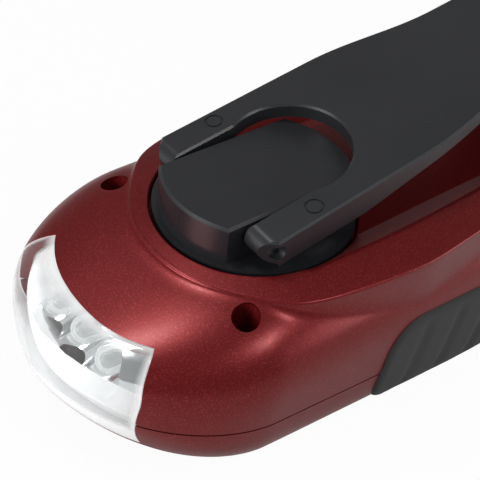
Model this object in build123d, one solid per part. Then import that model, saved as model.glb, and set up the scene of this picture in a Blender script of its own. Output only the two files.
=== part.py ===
from build123d import *
import math
import os

# Hand crank flashlight. Row frame in millimetres: X runs the length with the lens facing -X, +Z is up,
# the flat base lies on z = 0 and the origin is under the middle of the length.
# The crank and the gear train share a hub frame: its origin is the centre of the hub's top face, its z
# is the crank axis, which leans towards the lens, and its x runs to the rear along the sloping deck.

# Housing form
LENGTH = 135.0
HUB_FROM_NOSE = 41.0
HUB_RISE = 7.2
HUB_TILT = 9.5
HALF_WIDTH = 29.4
NOSE_RUN = 29.5
NOSE_HEIGHT = 21.6
NOSE_SLOPE = 0.43
ROOF_HEIGHT = 35.8
ROOF_SLOPE = 0.15
KEEL_RUN = 40.0
TAIL_RUN = 58.0
TAIL_HEIGHT = 17.0
TAIL_GAP = 7.0
TAIL_TOP_RUN = 30.0
TAIL_BACK_MORE = 8.0
CREST_FROM_TAIL = 15.0
WIDEST_HEIGHT = 14.0
KEEL_DROP = 0.8
TOP_BLEND = 1.2
NOSE_ROUNDING = 1.85
TAIL_PLAN_POWER = 3.4
TAIL_PLAN_ROOT = 2.6
TAIL_TOP_POWER = 3.2
TAIL_TOP_ROOT = 3.0
KEEL_ROUNDING = 2.8
LIFT_POWER = 3
NOSE_STATIONS = (14, 26, 38, 50, 62, 75, 90)
MIDDLE_STATIONS = (0.25, 0.5, 0.75, 1.0)
TAIL_STATIONS = (70, 56, 44, 32, 21, 11)
SQUARENESS_ABOVE = 3.6
SQUARENESS_BELOW = 3.0
NOSE_SOFTENING = 1.1
LEAST_HALF = 0.3
WALL = 2.4
ROOF_WALL = 3.4
FLOOR_WALL = 2.6
SEAM_HEIGHT = 14.4
SEAM_GAP = 0.3
LIP_HEIGHT = 2.2
LIP_WALL = 1.2
LIP_FROM_TAIL = 29.0
FIT_GAP = 0.15

# Deck round the hub, in the hub frame
BORE_RADIUS = 18.5
LIP_DEPTH = 6.4
CREST_DEPTH = 8.1
CREST_RADIUS = 26.3
CREST_CENTRE = 4.9
DECK_FROM_TAIL = 8.0
DECK_INSET = 2.0
DECK_NARROWING = 4.4
BAND_WIDTH = 7.4
DECK_SKIRT = 9.0
CHANNEL_DEPTH = 8.6
CHANNEL_HALF_WIDTH = 15.4
CHANNEL_START = 3.0
CHANNEL_MOUTH = 5.4
CHANNEL_MOUTH_DEPTH = 5.9
CHANNEL_FROM_DECK_END = 27.0

# Crank hub
HUB_RADIUS = 17.0
HUB_FLAT = 10.0
HUB_CHAMFER = 0.5
HUB_STEP = 7.2
FLANGE_RADIUS = 18.1
FLANGE_THICKNESS = 1.8
SHAFT_RADIUS = 4.0
SHAFT_FLAT = 3.2
CRANK_SCREW_RADIUS = 1.4
CRANK_SCREW_HEAD = 4.4
CRANK_SCREW_HEAD_HEIGHT = 1.4
CRANK_SCREW_LENGTH = 7.0
WELL_GAP = 0.4
WELL_FLOOR = 2.0
WELL_WALL = 1.7
DRIVE_DROP = 1.4
BUSH_RADIUS = 6.0
BUSH_FLANGE_RADIUS = 7.5
BUSH_FLANGE = 0.9
RUNNING_GAP = 0.05
SEAT_GAP = 0.02

# Crank arm, in its own frame: u along the arm from the hub's front, v across, w up from its top face
ARM_RISE = 9.5
ARM_FRONT = 11.9
ARM_TOP_DROP = 0.65
ARM_HALF_WIDTH = 16.5
ARM_TAPER_START = 36.0
ARM_WAIST = 13.2
ARM_WAIST_AT = 66.0
ARM_KNOB_AT = 80.0
ARM_WEB = 2.8
ARM_RIM_DEPTH = 5.3
ARM_RIM_WIDTH = 2.6
ARM_RIM_FULL_TO = 22.0
ARM_RIM_ENDS_AT = 46.0
ARM_SLOT_HALF = 10.5
ARM_SLOT_RADIUS = 11.2
ARM_SLOT_AT = 18.4
ARM_TIP_CHAMFER = 2.6
ARM_EDGE = 0.35
PIVOT_FROM_FRONT = 3.0
PIVOT_BELOW_TOP = 2.45
ARM_UNFOLD = 170.5
PIN_RADIUS = 1.4
PIN_HOLE_RADIUS = 1.45
PIN_DEPTH = 4.0
PIN_RECESS = 1.6
ARM_TIP_AT = 0.5
TINE_BOSS = 5.0
EJECTOR_AT = 12.5
EJECTOR_SIDE = 13.8
EJECTOR_RADIUS = 1.7
EJECTOR_DEPTH = 0.2
EJECTOR_RING = 0.4

# Knob
KNOB_LENGTH = 13.5
KNOB_RADIUS = 8.6
KNOB_END_RADIUS = 7.2
KNOB_GAP = 0.4
KNOB_PIN_RADIUS = 2.0
KNOB_PIN_HEAD = 3.6
KNOB_PIN_HEAD_HEIGHT = 1.6
KNOB_HEAD_GAP = 0.3
KNOB_EDGE = 0.8

# Gear train
TRAIN_FROM_TAIL = 27.0
PRESSURE_ANGLE = 25.0
DRIVE_TEETH = 44
FIRST_PINION_TEETH = 11
FIRST_WHEEL_TEETH = 40
SECOND_PINION_TEETH = 10
SECOND_WHEEL_TEETH = 36
ROTOR_PINION_TEETH = 9
FLANK_RELIEF = 0.06
WHEEL_ADDENDUM = 0.8
PINION_ADDENDUM = 0.95
ROOT_GAP = 0.2
GEAR_FLANK_POINTS = 5
DRIVE_THICKNESS = 3.0
WHEEL_THICKNESS = 2.4
GEAR_GAP = 0.6
AXLE_RADIUS = 1.0
AXLE_BOSS_WALL = 1.6
AXLE_SINK = 1.8
GEAR_PLATE = 1.6
GEAR_PLATE_HALF = 10.0
PLATE_LEAD = 5.0
PLATE_MARGIN = 0.5
PLATE_POST_RADIUS = 2.8
POST_BEHIND_WHEEL = 1.0
POST_BEHIND_ROTOR = 2.0
PLATE_SCREW_RADIUS = 1.0
PLATE_SCREW_HEAD = 1.9
PLATE_SCREW_HEAD_HEIGHT = 1.2
PLATE_SCREW_LENGTH = 6.0

# Generator
CAN_RADIUS = 10.6
CAN_WALL = 0.8
CAN_HEIGHT = 11.0
MAGNET_RADIUS = 5.5
MAGNET_HEIGHT = 7.0
MAGNET_GAP = 0.5
COIL_GAP = 0.3
ROTOR_SHAFT_RADIUS = 1.0

# Lens and lamps
LENS_HALF_WIDTH = 19.4
LENS_TOP = 25.0
LENS_TOP_RISE = 1.1
LENS_TOP_HALF_WIDTH = 15.4
LENS_SHOULDER_HALF_WIDTH = 18.2
LENS_SHOULDER_HEIGHT = 23.2
LENS_WIDEST_HEIGHT = 17.6
LENS_FOOT_HALF_WIDTH = 18.9
LENS_CORNER = 1.0
LENS_WALL = 1.8
LENS_DEPTH = 18.0
LENS_GAP = 0.3
LENS_LOW = 8.6
REFLECTOR_INSET = 0.75
REFLECTOR_LOW = 12.4
BOWL_DEPTH = 8.0
BOWL_FOOT = 0.8
BOWL_FLARE = 1.0
BOWL_OVERRUN = 4.0
LAMP_RIM_THICKNESS = 1.0
LAMP_PITCH = 7.8
LAMP_HEIGHT = 17.8
LAMP_RADIUS = 2.5
LAMP_RIM = 2.9
LAMP_LENGTH = 8.6
LAMP_BACK = 16.5
BOWL_RADIUS = 6.4
LAMP_BOARD_WALL = 1.6
LAMP_BOARD_HEIGHT = 11.0

# Side grips
GRIP_FRONT = 13.4
GRIP_FROM_TAIL = 17.0
GRIP_TOP = 25.6
GRIP_BOTTOM = 4.6
GRIP_CORNER = 7.0
GRIP_LOW_CLIMB = 0.3
GRIP_TOP_CLIMB = 0.4
GRIP_PROUD = 0.8
GRIP_DEPTH = 1.2
GRIP_GROOVES = 5
GRIP_GROOVE_RADIUS = 6.0
GRIP_GROOVE_DEPTH = 0.6

# Case screws
SCREW_HOLE_RADIUS = 2.5
SCREW_HEAD_RADIUS = 2.2
SCREW_HEAD_HEIGHT = 1.5
SCREW_RADIUS = 1.2
SCREW_LENGTH = 16.0
SCREW_BOSS_RADIUS = 3.9
REAR_SEAT_LIFT = 2.0
FRONT_SCREW_BACK = 14.9
FRONT_SCREW_SIDE = 19.6
REAR_SCREW_FROM_TAIL = 12.5
REAR_SCREW_SIDE = 15.0
SCREW_SEAT = 21.0
SCREW_SLOT_HALF = 0.3
SCREW_SLOT_DEPTH = 0.6
BOSS_SPLIT = 17.0

# Power button on the tail
BUTTON_HEIGHT = 27.5
BUTTON_RADIUS = 4.6
BUTTON_PROUD = 1.6
BUTTON_SINK = 1.8
BUTTON_TRAVEL = 1.2
BUTTON_FLANGE = 0.8
BUTTON_FLANGE_RADIUS = 5.4
BUTTON_GAP = 0.3
SLEEVE_WALL = 1.2
SWITCH_LENGTH = 2.2
PLUNGER_RADIUS = 1.6
PLUNGER_LENGTH = 0.5

# Battery, board and lug
CELL_RADIUS = 7.6
CELL_LENGTH = 6.1
CELL_COUNT = 3
CELL_AXIS_HEIGHT = 11.0
CRADLE_RIB_HALF = 1.0
CRADLE_DROP = 3.0
CELL_BACK = 30.5
BOARD_LENGTH = 20.0
BOARD_WIDTH = 26.0
BOARD_THICKNESS = 1.6
BOARD_HEIGHT = 7.0
RAIL_INSET = 2.0
RAIL_HALF = 1.0
BOARD_BACK = 6.5
CAPACITOR_RADIUS = 3.2
CAPACITOR_HEIGHT = 6.5
CHIP_LENGTH = 5.0
CHIP_HEIGHT = 1.8
LUG_WIDTH = 11.0
LUG_THICKNESS = 4.6
LUG_HEIGHT = 9.0
LUG_HOLE_RADIUS = 2.0
LUG_RIM = 2.0
LUG_END_FLAT = 0.5
CONTACT_SHARE = 0.6
CONTACT_THICKNESS = 0.4

# Values worked out from the ones above
HUB_X = HUB_FROM_NOSE - LENGTH / 2
TAIL_X = LENGTH / 2 - TAIL_GAP
NOSE_X = -LENGTH / 2
HUB_HEIGHT = ROOF_HEIGHT + HUB_RISE
DECK_END = TAIL_X - HUB_X - DECK_FROM_TAIL
DECK_SIDE = HALF_WIDTH - DECK_INSET
DECK_WAIST = DECK_SIDE - DECK_NARROWING
CHANNEL_END = DECK_END - CHANNEL_FROM_DECK_END
GRIP_LENGTH = TAIL_X - GRIP_FROM_TAIL - HUB_X - GRIP_FRONT
CELL_START = HUB_X + CELL_BACK
BOARD_START = HUB_X + BOARD_BACK
SECTION_POINTS = 28
BACK_RUN = TAIL_TOP_RUN + TAIL_BACK_MORE
RISE_COS = math.cos(math.radians(ARM_RISE))
RISE_SIN = math.sin(math.radians(ARM_RISE))
PIVOT_DROP = ARM_TOP_DROP + PIVOT_BELOW_TOP
PIVOT_X = -ARM_FRONT + PIVOT_FROM_FRONT * RISE_COS + PIVOT_DROP * RISE_SIN
PIVOT_Z = PIVOT_FROM_FRONT * RISE_SIN - PIVOT_DROP * RISE_COS
BIG = 4 * LENGTH
DRIVE_TOP = -(HUB_STEP + FLANGE_THICKNESS + WELL_GAP + WELL_FLOOR + DRIVE_DROP)
DRIVE_BOTTOM = DRIVE_TOP - DRIVE_THICKNESS
WHEEL_ONE_TOP = DRIVE_BOTTOM - GEAR_GAP
WHEEL_TWO_TOP = WHEEL_ONE_TOP - WHEEL_THICKNESS - GEAR_GAP
PLATE_TOP = WHEEL_TWO_TOP - WHEEL_THICKNESS - GEAR_GAP
PLATE_BOTTOM = PLATE_TOP - GEAR_PLATE
FIRST_TEETH = DRIVE_TEETH + FIRST_PINION_TEETH
SECOND_TEETH = FIRST_WHEEL_TEETH + SECOND_PINION_TEETH
THIRD_TEETH = SECOND_WHEEL_TEETH + ROTOR_PINION_TEETH
MODULE = 2 * (TAIL_X - HUB_X - TRAIN_FROM_TAIL) / (FIRST_TEETH + SECOND_TEETH + THIRD_TEETH)
FIRST_AXLE = MODULE * FIRST_TEETH / 2
SECOND_AXLE = FIRST_AXLE + MODULE * SECOND_TEETH / 2
ROTOR_AXLE = SECOND_AXLE + MODULE * THIRD_TEETH / 2


def in_hub_frame(shape):
    """Carries a shape from the hub frame into the row frame."""
    return Pos(HUB_X, 0, HUB_HEIGHT) * Rot(0, -HUB_TILT, 0) * shape


def in_arm_frame(shape):
    """Carries a shape from the arm's frame into the row frame."""
    place = Pos(-ARM_FRONT, 0, 0) * Rot(0, -ARM_RISE, 0) * Pos(0, 0, -ARM_TOP_DROP)
    return in_hub_frame(place * shape)


def box_between(low, high):
    """Box from its lowest corner to its highest."""
    size = [b - a for a, b in zip(low, high)]
    return Pos(*low) * Box(*size, align=(Align.MIN, Align.MIN, Align.MIN))


def rod(radius, bottom, top):
    """Upright cylinder between two heights."""
    return Pos(0, 0, bottom) * Cylinder(radius, top - bottom, align=(Align.CENTER, Align.CENTER, Align.MIN))


def fade(run, start, x, power, root):
    """Falls from 1 at the start of a run to 0 at its far end, along a rounded curve."""
    share = min(max((start - x) / run, 0.0), 1.0)
    return max(1.0 - share**power, 0.0) ** (1.0 / root)


def half_width_at(x):
    """Half width of the housing at a place along it."""
    nose = fade(NOSE_RUN, NOSE_X + NOSE_RUN, x, NOSE_ROUNDING, NOSE_ROUNDING)
    tail = fade(TAIL_RUN, -TAIL_X + TAIL_RUN, -x, TAIL_PLAN_POWER, TAIL_PLAN_ROOT)
    return HALF_WIDTH * nose * tail


def top_at(x):
    """Height of the housing's top line: a nose ramp, the sloping roof, then the rounded tail."""
    ramp = NOSE_HEIGHT + NOSE_SLOPE * (x - NOSE_X)
    roof = ROOF_HEIGHT + ROOF_SLOPE * (x - HUB_X)
    crest = ROOF_HEIGHT + ROOF_SLOPE * (TAIL_X - CREST_FROM_TAIL - HUB_X)
    shares = [math.exp(-height / TOP_BLEND) for height in (ramp, roof, crest)]
    line = -TOP_BLEND * math.log(sum(shares))
    tail = fade(TAIL_TOP_RUN, -TAIL_X + TAIL_TOP_RUN, -x, TAIL_TOP_POWER, TAIL_TOP_ROOT)
    return TAIL_HEIGHT + (line - TAIL_HEIGHT) * tail


def keel_at(x):
    """Height of the housing's bottom line."""
    nose = fade(KEEL_RUN, NOSE_X + KEEL_RUN, x, KEEL_ROUNDING, KEEL_ROUNDING)
    tail = fade(KEEL_RUN, -TAIL_X + KEEL_RUN, -x, KEEL_ROUNDING, KEEL_ROUNDING)
    low = -KEEL_DROP
    ahead = NOSE_HEIGHT + (low - NOSE_HEIGHT) * nose
    behind = TAIL_HEIGHT + (low - TAIL_HEIGHT) * tail
    return max(ahead, behind)


def middle_at(x):
    """Height of the widest line, which climbs to the nose and tail tips."""
    ahead = min(max((NOSE_X + NOSE_RUN - x) / NOSE_RUN, 0.0), 1.0) ** LIFT_POWER
    behind = min(max((x - TAIL_X + TAIL_RUN) / TAIL_RUN, 0.0), 1.0) ** LIFT_POWER
    nose_lift = (NOSE_HEIGHT - WIDEST_HEIGHT) * ahead
    tail_lift = (TAIL_HEIGHT - WIDEST_HEIGHT) * behind
    return WIDEST_HEIGHT + nose_lift + tail_lift


def section_at(x, side, roof, floor):
    """Closed cross-section of the housing, a rounded box drawn as a superellipse."""
    ahead = min(max((NOSE_X + NOSE_RUN - x) / NOSE_RUN, 0.0), 1.0)
    width = max(half_width_at(x) - side, LEAST_HALF)
    middle = middle_at(x)
    above = max(top_at(x) - roof - middle, LEAST_HALF)
    below = max(middle - keel_at(x) - floor, LEAST_HALF)
    points = []
    for step in range(SECTION_POINTS):
        angle = 2 * math.pi * step / SECTION_POINTS
        c = math.cos(angle)
        s = math.sin(angle)
        power = SQUARENESS_ABOVE if s >= 0 else SQUARENESS_BELOW - NOSE_SOFTENING * ahead
        reach = above if s >= 0 else below
        y = width * math.copysign(abs(c) ** (2 / power), c)
        z = middle + reach * math.copysign(abs(s) ** (2 / power), s)
        points.append(Vector(x, y, z))
    shares = [step / SECTION_POINTS for step in range(SECTION_POINTS + 1)]
    return Wire([Edge.make_spline(points, periodic=True, parameters=shares)])


def body_form(side=0.0, roof=0.0, floor=0.0):
    """The housing's solid form, drawn in by a wall at its sides, top and bottom."""
    first = NOSE_X + side
    last = TAIL_X - side
    front = NOSE_RUN - side
    back = BACK_RUN - side
    places = [first + front * (1 - math.cos(math.radians(a))) for a in NOSE_STATIONS]
    middle = last - back - places[-1]
    places += [places[-1] + middle * share for share in MIDDLE_STATIONS]
    places += [last - back * (1 - math.cos(math.radians(a))) for a in TAIL_STATIONS]
    wires = [section_at(x, side, roof, floor) for x in places]
    tips = [Vertex(first, 0, NOSE_HEIGHT), Vertex(last, 0, TAIL_HEIGHT)]
    return Solid.make_loft([tips[0]] + wires + [tips[1]])


def closed_curve(half, height):
    """Closed curve through mirrored points, given from the front round one side to the rear."""
    far = [(x, -y) for x, y in reversed(half[1:-1])]
    points = [Vector(x, y, height) for x, y in half + far]
    shares = [step / len(points) for step in range(len(points) + 1)]
    return Wire([Edge.make_spline(points, periodic=True, parameters=shares)])


def deck_outline(inset, height):
    """Outline of the deck: an arc round the hub's front, long sides and a rounded rear end."""
    radius = CREST_RADIUS - inset
    half = []
    for angle in (0, 24, 48, 70):
        turn = math.radians(angle)
        half.append((CREST_CENTRE - radius * math.cos(turn), radius * math.sin(turn)))
    half.append((DECK_SIDE * 0.47, DECK_SIDE - inset))
    half.append((DECK_SIDE * 0.8, DECK_SIDE - inset * 0.98))
    half.append((DECK_END * 0.42, DECK_SIDE * 0.965 - inset * 1.02))
    half.append((DECK_END * 0.58, DECK_SIDE * 0.91 - inset * 1.05))
    half.append((DECK_END * 0.75, DECK_WAIST - inset * 1.02))
    half.append((DECK_END * 0.89 - inset * 0.4, (DECK_WAIST - inset) * 0.72))
    half.append((DECK_END * 0.98 - inset, (DECK_WAIST - inset) * 0.34))
    half.append((DECK_END - inset, 0))
    return closed_curve(half, height)


def deck_form():
    """The raised deck: a skirt up to the crest line and a band that climbs inward from it."""
    crest = deck_outline(0, -CREST_DEPTH)
    skirt = extrude(Face(crest), DECK_SKIRT, dir=(0, 0, -1))
    band = Solid.make_loft([crest, deck_outline(BAND_WIDTH, -LIP_DEPTH)], True)
    return in_hub_frame(skirt + band)


def channel_cut():
    """Sunken floor behind the hub with bevelled sides, which the folded crank lies over."""
    wires = []
    for spread, height in ((0, -CHANNEL_DEPTH), (CHANNEL_MOUTH, -CHANNEL_MOUTH_DEPTH)):
        half_width = CHANNEL_HALF_WIDTH + spread
        end = CHANNEL_END + spread
        corners = [
            Line((-CHANNEL_START, -half_width, height), (end, -half_width, height)),
            ThreePointArc((end, -half_width, height), (end + half_width, 0, height), (end, half_width, height)),
            Line((end, half_width, height), (-CHANNEL_START, half_width, height)),
            Line((-CHANNEL_START, half_width, height), (-CHANNEL_START, -half_width, height)),
        ]
        wires.append(Wire(corners))
    return in_hub_frame(Solid.make_loft(wires, True))


def hub_well():
    """Cup in the deck that the hub's flange turns in."""
    bottom = -(HUB_STEP + FLANGE_THICKNESS + WELL_GAP + WELL_FLOOR)
    return in_hub_frame(rod(BORE_RADIUS + WELL_WALL, bottom, -LIP_DEPTH))


def hub_bore():
    """Round opening for the hub, with the smaller seat for its bush below."""
    floor = -(HUB_STEP + FLANGE_THICKNESS + WELL_GAP)
    opening = rod(BORE_RADIUS, floor, HUB_STEP)
    return in_hub_frame(opening + rod(BUSH_RADIUS + SEAT_GAP, floor - 3 * WELL_FLOOR, floor))


def lens_window(grow):
    """Prism along X with the front outline of the lens: an arched top, rounded shoulders and upright sides."""
    low = LENS_LOW - grow
    top = LENS_TOP + grow
    corner = (LENS_TOP_HALF_WIDTH + grow, top + LENS_TOP_RISE)
    shoulder = (LENS_SHOULDER_HALF_WIDTH + grow, LENS_SHOULDER_HEIGHT + grow)
    widest = (LENS_HALF_WIDTH + grow, LENS_WIDEST_HEIGHT)
    foot = (LENS_FOOT_HALF_WIDTH + grow, low)
    lines = [ThreePointArc((-corner[0], corner[1]), (0, top), corner)]
    for side in (-1, 1):
        places = [(side * y, z) for y, z in (corner, shoulder, widest, foot)]
        lines.append(ThreePointArc(*places[:3]))
        lines.append(Line(*places[2:]))
    lines.append(Line((-foot[0], low), (foot[0], low)))
    face = Face(Wire(lines))
    face = fillet(face.vertices().sort_by(Axis.Y)[-2:], LENS_CORNER)
    plane = Plane(origin=(NOSE_X - 1, 0, 0), x_dir=(0, 1, 0), z_dir=(1, 0, 0))
    return extrude(plane * face, LENS_DEPTH, dir=(1, 0, 0))


def grip_window(side, grow):
    """Prism along Y with the side outline of a grip, whose top edge climbs with the deck."""
    front = HUB_X + GRIP_FRONT - grow
    back = TAIL_X - GRIP_FROM_TAIL + grow
    climb = GRIP_LENGTH * math.tan(math.radians(HUB_TILT))
    low = GRIP_BOTTOM - grow
    high = GRIP_TOP + grow
    corners = [(front, low), (back, low + climb * GRIP_LOW_CLIMB), (back, high + climb * GRIP_TOP_CLIMB), (front, high)]
    face = Face(Wire(Polyline(*corners, close=True)))
    face = fillet(face.vertices(), GRIP_CORNER + grow)
    plane = Plane(origin=(0, 0, 0), x_dir=(1, 0, 0), z_dir=(0, -1, 0))
    return extrude(plane * face, -side * BIG / 4)


def tail_reach(height):
    """Place along X where the rear of the housing's top line comes down to a height."""
    near = TAIL_X - TAIL_TOP_RUN
    far = TAIL_X
    for _ in range(50):
        middle = (near + far) / 2
        if top_at(middle) > height:
            near = middle
        else:
            far = middle
    return near


def in_button_frame(shape):
    """Carries a shape drawn upright about the origin onto the button's axis at the tail."""
    return Pos(tail_reach(BUTTON_HEIGHT), 0, BUTTON_HEIGHT) * Rot(0, 90, 0) * shape


def plate_posts():
    """Places of the posts that carry the gear plate, in the hub frame."""
    front = (FIRST_AXLE + SECOND_AXLE) / 2 + POST_BEHIND_WHEEL
    front_side = MODULE * FIRST_WHEEL_TEETH / 2 + PLATE_POST_RADIUS + GEAR_GAP
    rear = ROTOR_AXLE + POST_BEHIND_ROTOR
    rear_side = CAN_RADIUS + 2 * PLATE_POST_RADIUS
    return [(x, s * y) for x, y in ((front, front_side), (rear, rear_side)) for s in (-1, 1)]


def case_screw_places():
    """Places of the case screws in the row frame: two by the nose and two by the tail."""
    front = [(HUB_X - FRONT_SCREW_BACK, s * FRONT_SCREW_SIDE) for s in (-1, 1)]
    rear = [(TAIL_X - REAR_SCREW_FROM_TAIL, s * REAR_SCREW_SIDE) for s in (-1, 1)]
    return front, rear


def make_shells():
    """Upper and lower halves of the housing, joined along a level seam."""
    outer = body_form() & box_between((-BIG, -BIG, 0), (BIG, BIG, BIG))
    for side in (-1, 1):
        outer = outer - (grip_window(side, 0) - body_form(GRIP_DEPTH, GRIP_DEPTH, GRIP_DEPTH))
    inner = body_form(WALL, ROOF_WALL, FLOOR_WALL)
    core = body_form(WALL / 2, WALL / 2, WALL / 2)
    above = box_between((-BIG, -BIG, SEAM_HEIGHT + SEAM_GAP / 2), (BIG, BIG, BIG))
    below = box_between((-BIG, -BIG, -BIG), (BIG, BIG, SEAM_HEIGHT - SEAM_GAP / 2))
    front, rear = case_screw_places()

    upper = (outer + deck_form()) & above
    upper = upper - inner
    upper = upper + hub_well()
    inside = []
    for x, y in plate_posts():
        inside.append(in_hub_frame(Pos(x, y, 0) * rod(PLATE_POST_RADIUS, PLATE_TOP, 0)))
    for x in (FIRST_AXLE, SECOND_AXLE):
        inside.append(in_hub_frame(Pos(x, 0, 0) * rod(AXLE_RADIUS + AXLE_BOSS_WALL, DRIVE_TOP + GEAR_GAP, 0)))
    for x, y in front + rear:
        inside.append(Pos(x, y, 0) * rod(SCREW_BOSS_RADIUS, BOSS_SPLIT, BIG))
    sleeve = BUTTON_FLANGE_RADIUS + BUTTON_GAP + SLEEVE_WALL
    inside.append(in_button_frame(rod(sleeve, -sleeve_depth(), BUTTON_PROUD)))
    for piece in inside:
        upper = upper + (piece & core)
    cuts = [channel_cut(), hub_bore(), lens_window(0)]
    for x, y in plate_posts():
        hole = rod(PLATE_SCREW_RADIUS + SEAT_GAP, PLATE_TOP - 1, PLATE_TOP + PLATE_SCREW_LENGTH)
        cuts.append(in_hub_frame(Pos(x, y, 0) * hole))
    for x in (FIRST_AXLE, SECOND_AXLE):
        hole = rod(AXLE_RADIUS + SEAT_GAP, DRIVE_BOTTOM, axle_top())
        cuts.append(in_hub_frame(Pos(x, 0, 0) * hole))
    for x, y in front:
        cuts.append(Pos(x, y, 0) * rod(SCREW_HOLE_RADIUS, SCREW_SEAT, BIG))
        cuts.append(Pos(x, y, 0) * rod(SCREW_RADIUS + FIT_GAP, 0, BIG))
    for x, y in rear:
        cuts.append(Pos(x, y, 0) * rod(SCREW_RADIUS + SEAT_GAP, 0, rear_seat() + SCREW_LENGTH + 1))
    cuts.append(in_button_frame(rod(BUTTON_RADIUS + BUTTON_GAP, -BUTTON_SINK, BIG / 4)))
    cuts.append(in_button_frame(rod(BUTTON_FLANGE_RADIUS + BUTTON_GAP, -BIG / 8, -BUTTON_SINK)))
    for cut in cuts:
        upper = upper - cut

    lower = (outer & below) - inner
    for x, y in front + rear:
        lower = lower + (Pos(x, y, 0) * rod(SCREW_BOSS_RADIUS, 0, BOSS_SPLIT - FIT_GAP) & core)
    lower = lower + (cell_cradle() & core)
    lower = lower + (board_rails() & core)
    lug, lug_hole = lanyard_lug()
    lower = lower + lug - lug_hole
    cuts = [lens_window(0)]
    for x, y in front:
        cuts.append(Pos(x, y, 0) * rod(SCREW_RADIUS + SEAT_GAP, SCREW_SEAT - SCREW_LENGTH - 1, BIG))
    for x, y in rear:
        cuts.append(Pos(x, y, 0) * rod(SCREW_HOLE_RADIUS, -BIG, rear_seat()))
        cuts.append(Pos(x, y, 0) * rod(SCREW_RADIUS + FIT_GAP, 0, BIG))
    for cut in cuts:
        lower = lower - cut
    return upper, lower


def rear_seat():
    """Height of the rear screws' seat, sunk into the underside."""
    return FLOOR_WALL + SCREW_HEAD_HEIGHT + REAR_SEAT_LIFT


def axle_top():
    """Height of the gear axles' upper ends, in the hub frame."""
    return -(CHANNEL_DEPTH + AXLE_SINK)


def sleeve_depth():
    """Depth of the sleeve behind the button that holds the switch."""
    return BUTTON_SINK + BUTTON_FLANGE + BUTTON_TRAVEL + FIT_GAP + PLUNGER_LENGTH + SWITCH_LENGTH


def make_seam_lip():
    """Band inside the seam that locates the two halves on each other."""
    deep = WALL + FIT_GAP
    low = SEAM_HEIGHT - LIP_HEIGHT
    slab = box_between((HUB_X, -BIG, low), (TAIL_X - LIP_FROM_TAIL, BIG, SEAM_HEIGHT + LIP_HEIGHT))
    return (slab & body_form(deep, deep, deep)) - body_form(deep + LIP_WALL, deep + LIP_WALL, deep + LIP_WALL)


def cell_cradle():
    """Two ribs across the floor, hollowed for the battery."""
    ribs = None
    for x in (CELL_START + CELL_LENGTH / 2, CELL_START + (CELL_COUNT - 0.5) * CELL_LENGTH):
        low = (x - CRADLE_RIB_HALF, -CELL_RADIUS, 0)
        high = (x + CRADLE_RIB_HALF, CELL_RADIUS, CELL_AXIS_HEIGHT - CRADLE_DROP)
        rib = box_between(low, high)
        ribs = rib if ribs is None else ribs + rib
    return ribs - Pos(0, 0, CELL_AXIS_HEIGHT) * Rot(0, 90, 0) * rod(CELL_RADIUS + SEAT_GAP, -BIG, BIG)


def board_rails():
    """Two rails on the floor under the control board."""
    rails = None
    for side in (-1, 1):
        y = side * (BOARD_WIDTH / 2 - RAIL_INSET)
        end = BOARD_START + BOARD_LENGTH
        rail = box_between((BOARD_START, y - RAIL_HALF, 0), (end, y + RAIL_HALF, BOARD_HEIGHT))
        rails = rail if rails is None else rails + rail
    return rails


def lanyard_lug():
    """Flat loop at the tail for a wrist cord, and its upright hole."""
    reach = LENGTH / 2
    tab = box_between((TAIL_X - WALL, -LUG_WIDTH / 2, 0), (reach, LUG_WIDTH / 2, LUG_THICKNESS))
    tab = fillet(tab.edges().filter_by(Axis.Z).group_by(Axis.X)[-1], LUG_WIDTH / 2 - LUG_END_FLAT)
    x = reach - LUG_HOLE_RADIUS - LUG_RIM
    hole = Pos(x, 0, 0) * rod(LUG_HOLE_RADIUS, -1, LUG_THICKNESS + 1)
    return Pos(0, 0, LUG_HEIGHT) * tab, Pos(0, 0, LUG_HEIGHT) * hole


def make_grip(side):
    """Soft side grip, let into both halves of the housing, with upright finger grooves."""
    grip = grip_window(side, -FIT_GAP) & body_form(-GRIP_PROUD, -GRIP_PROUD, -GRIP_PROUD)
    deep = GRIP_DEPTH - SEAT_GAP
    grip = grip - body_form(deep, deep, deep)
    pitch = GRIP_LENGTH / (GRIP_GROOVES + 1)
    for step in range(GRIP_GROOVES):
        x = HUB_X + GRIP_FRONT + pitch * (step + 1)
        y = side * (half_width_at(x) + GRIP_PROUD + GRIP_GROOVE_RADIUS - GRIP_GROOVE_DEPTH)
        grip = grip - Pos(x, y, 0) * rod(GRIP_GROOVE_RADIUS, -BIG, BIG)
    return grip


def make_lens():
    """Clear front cover that follows the housing's outer form round the nose."""
    outer = body_form() - body_form(LENS_WALL, LENS_WALL, LENS_WALL)
    return outer & lens_window(-FIT_GAP)


def lamp_places():
    """Sideways places of the three lamps."""
    return [step * LAMP_PITCH for step in (-1, 0, 1)]


def bowl_form():
    """Hollow of one bowl about the upright axis, from the lamp's hole at z = 0 up to its open mouth."""
    hole = LAMP_RADIUS + FIT_GAP
    mouth = BOWL_DEPTH + BOWL_OVERRUN
    lines = [
        Line((0, -1), (hole, -1)),
        Line((hole, -1), (hole, BOWL_FOOT)),
        Spline((hole, BOWL_FOOT), (BOWL_RADIUS, BOWL_DEPTH), tangents=[(1, 0.35), (0.35, 1)]),
        Line((BOWL_RADIUS, BOWL_DEPTH), (BOWL_RADIUS + BOWL_FLARE, mouth)),
        Line((BOWL_RADIUS + BOWL_FLARE, mouth), (0, mouth)),
        Line((0, mouth), (0, -1)),
    ]
    return revolve(Plane.XZ * Face(Wire(lines)), Axis.Z)


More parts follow.
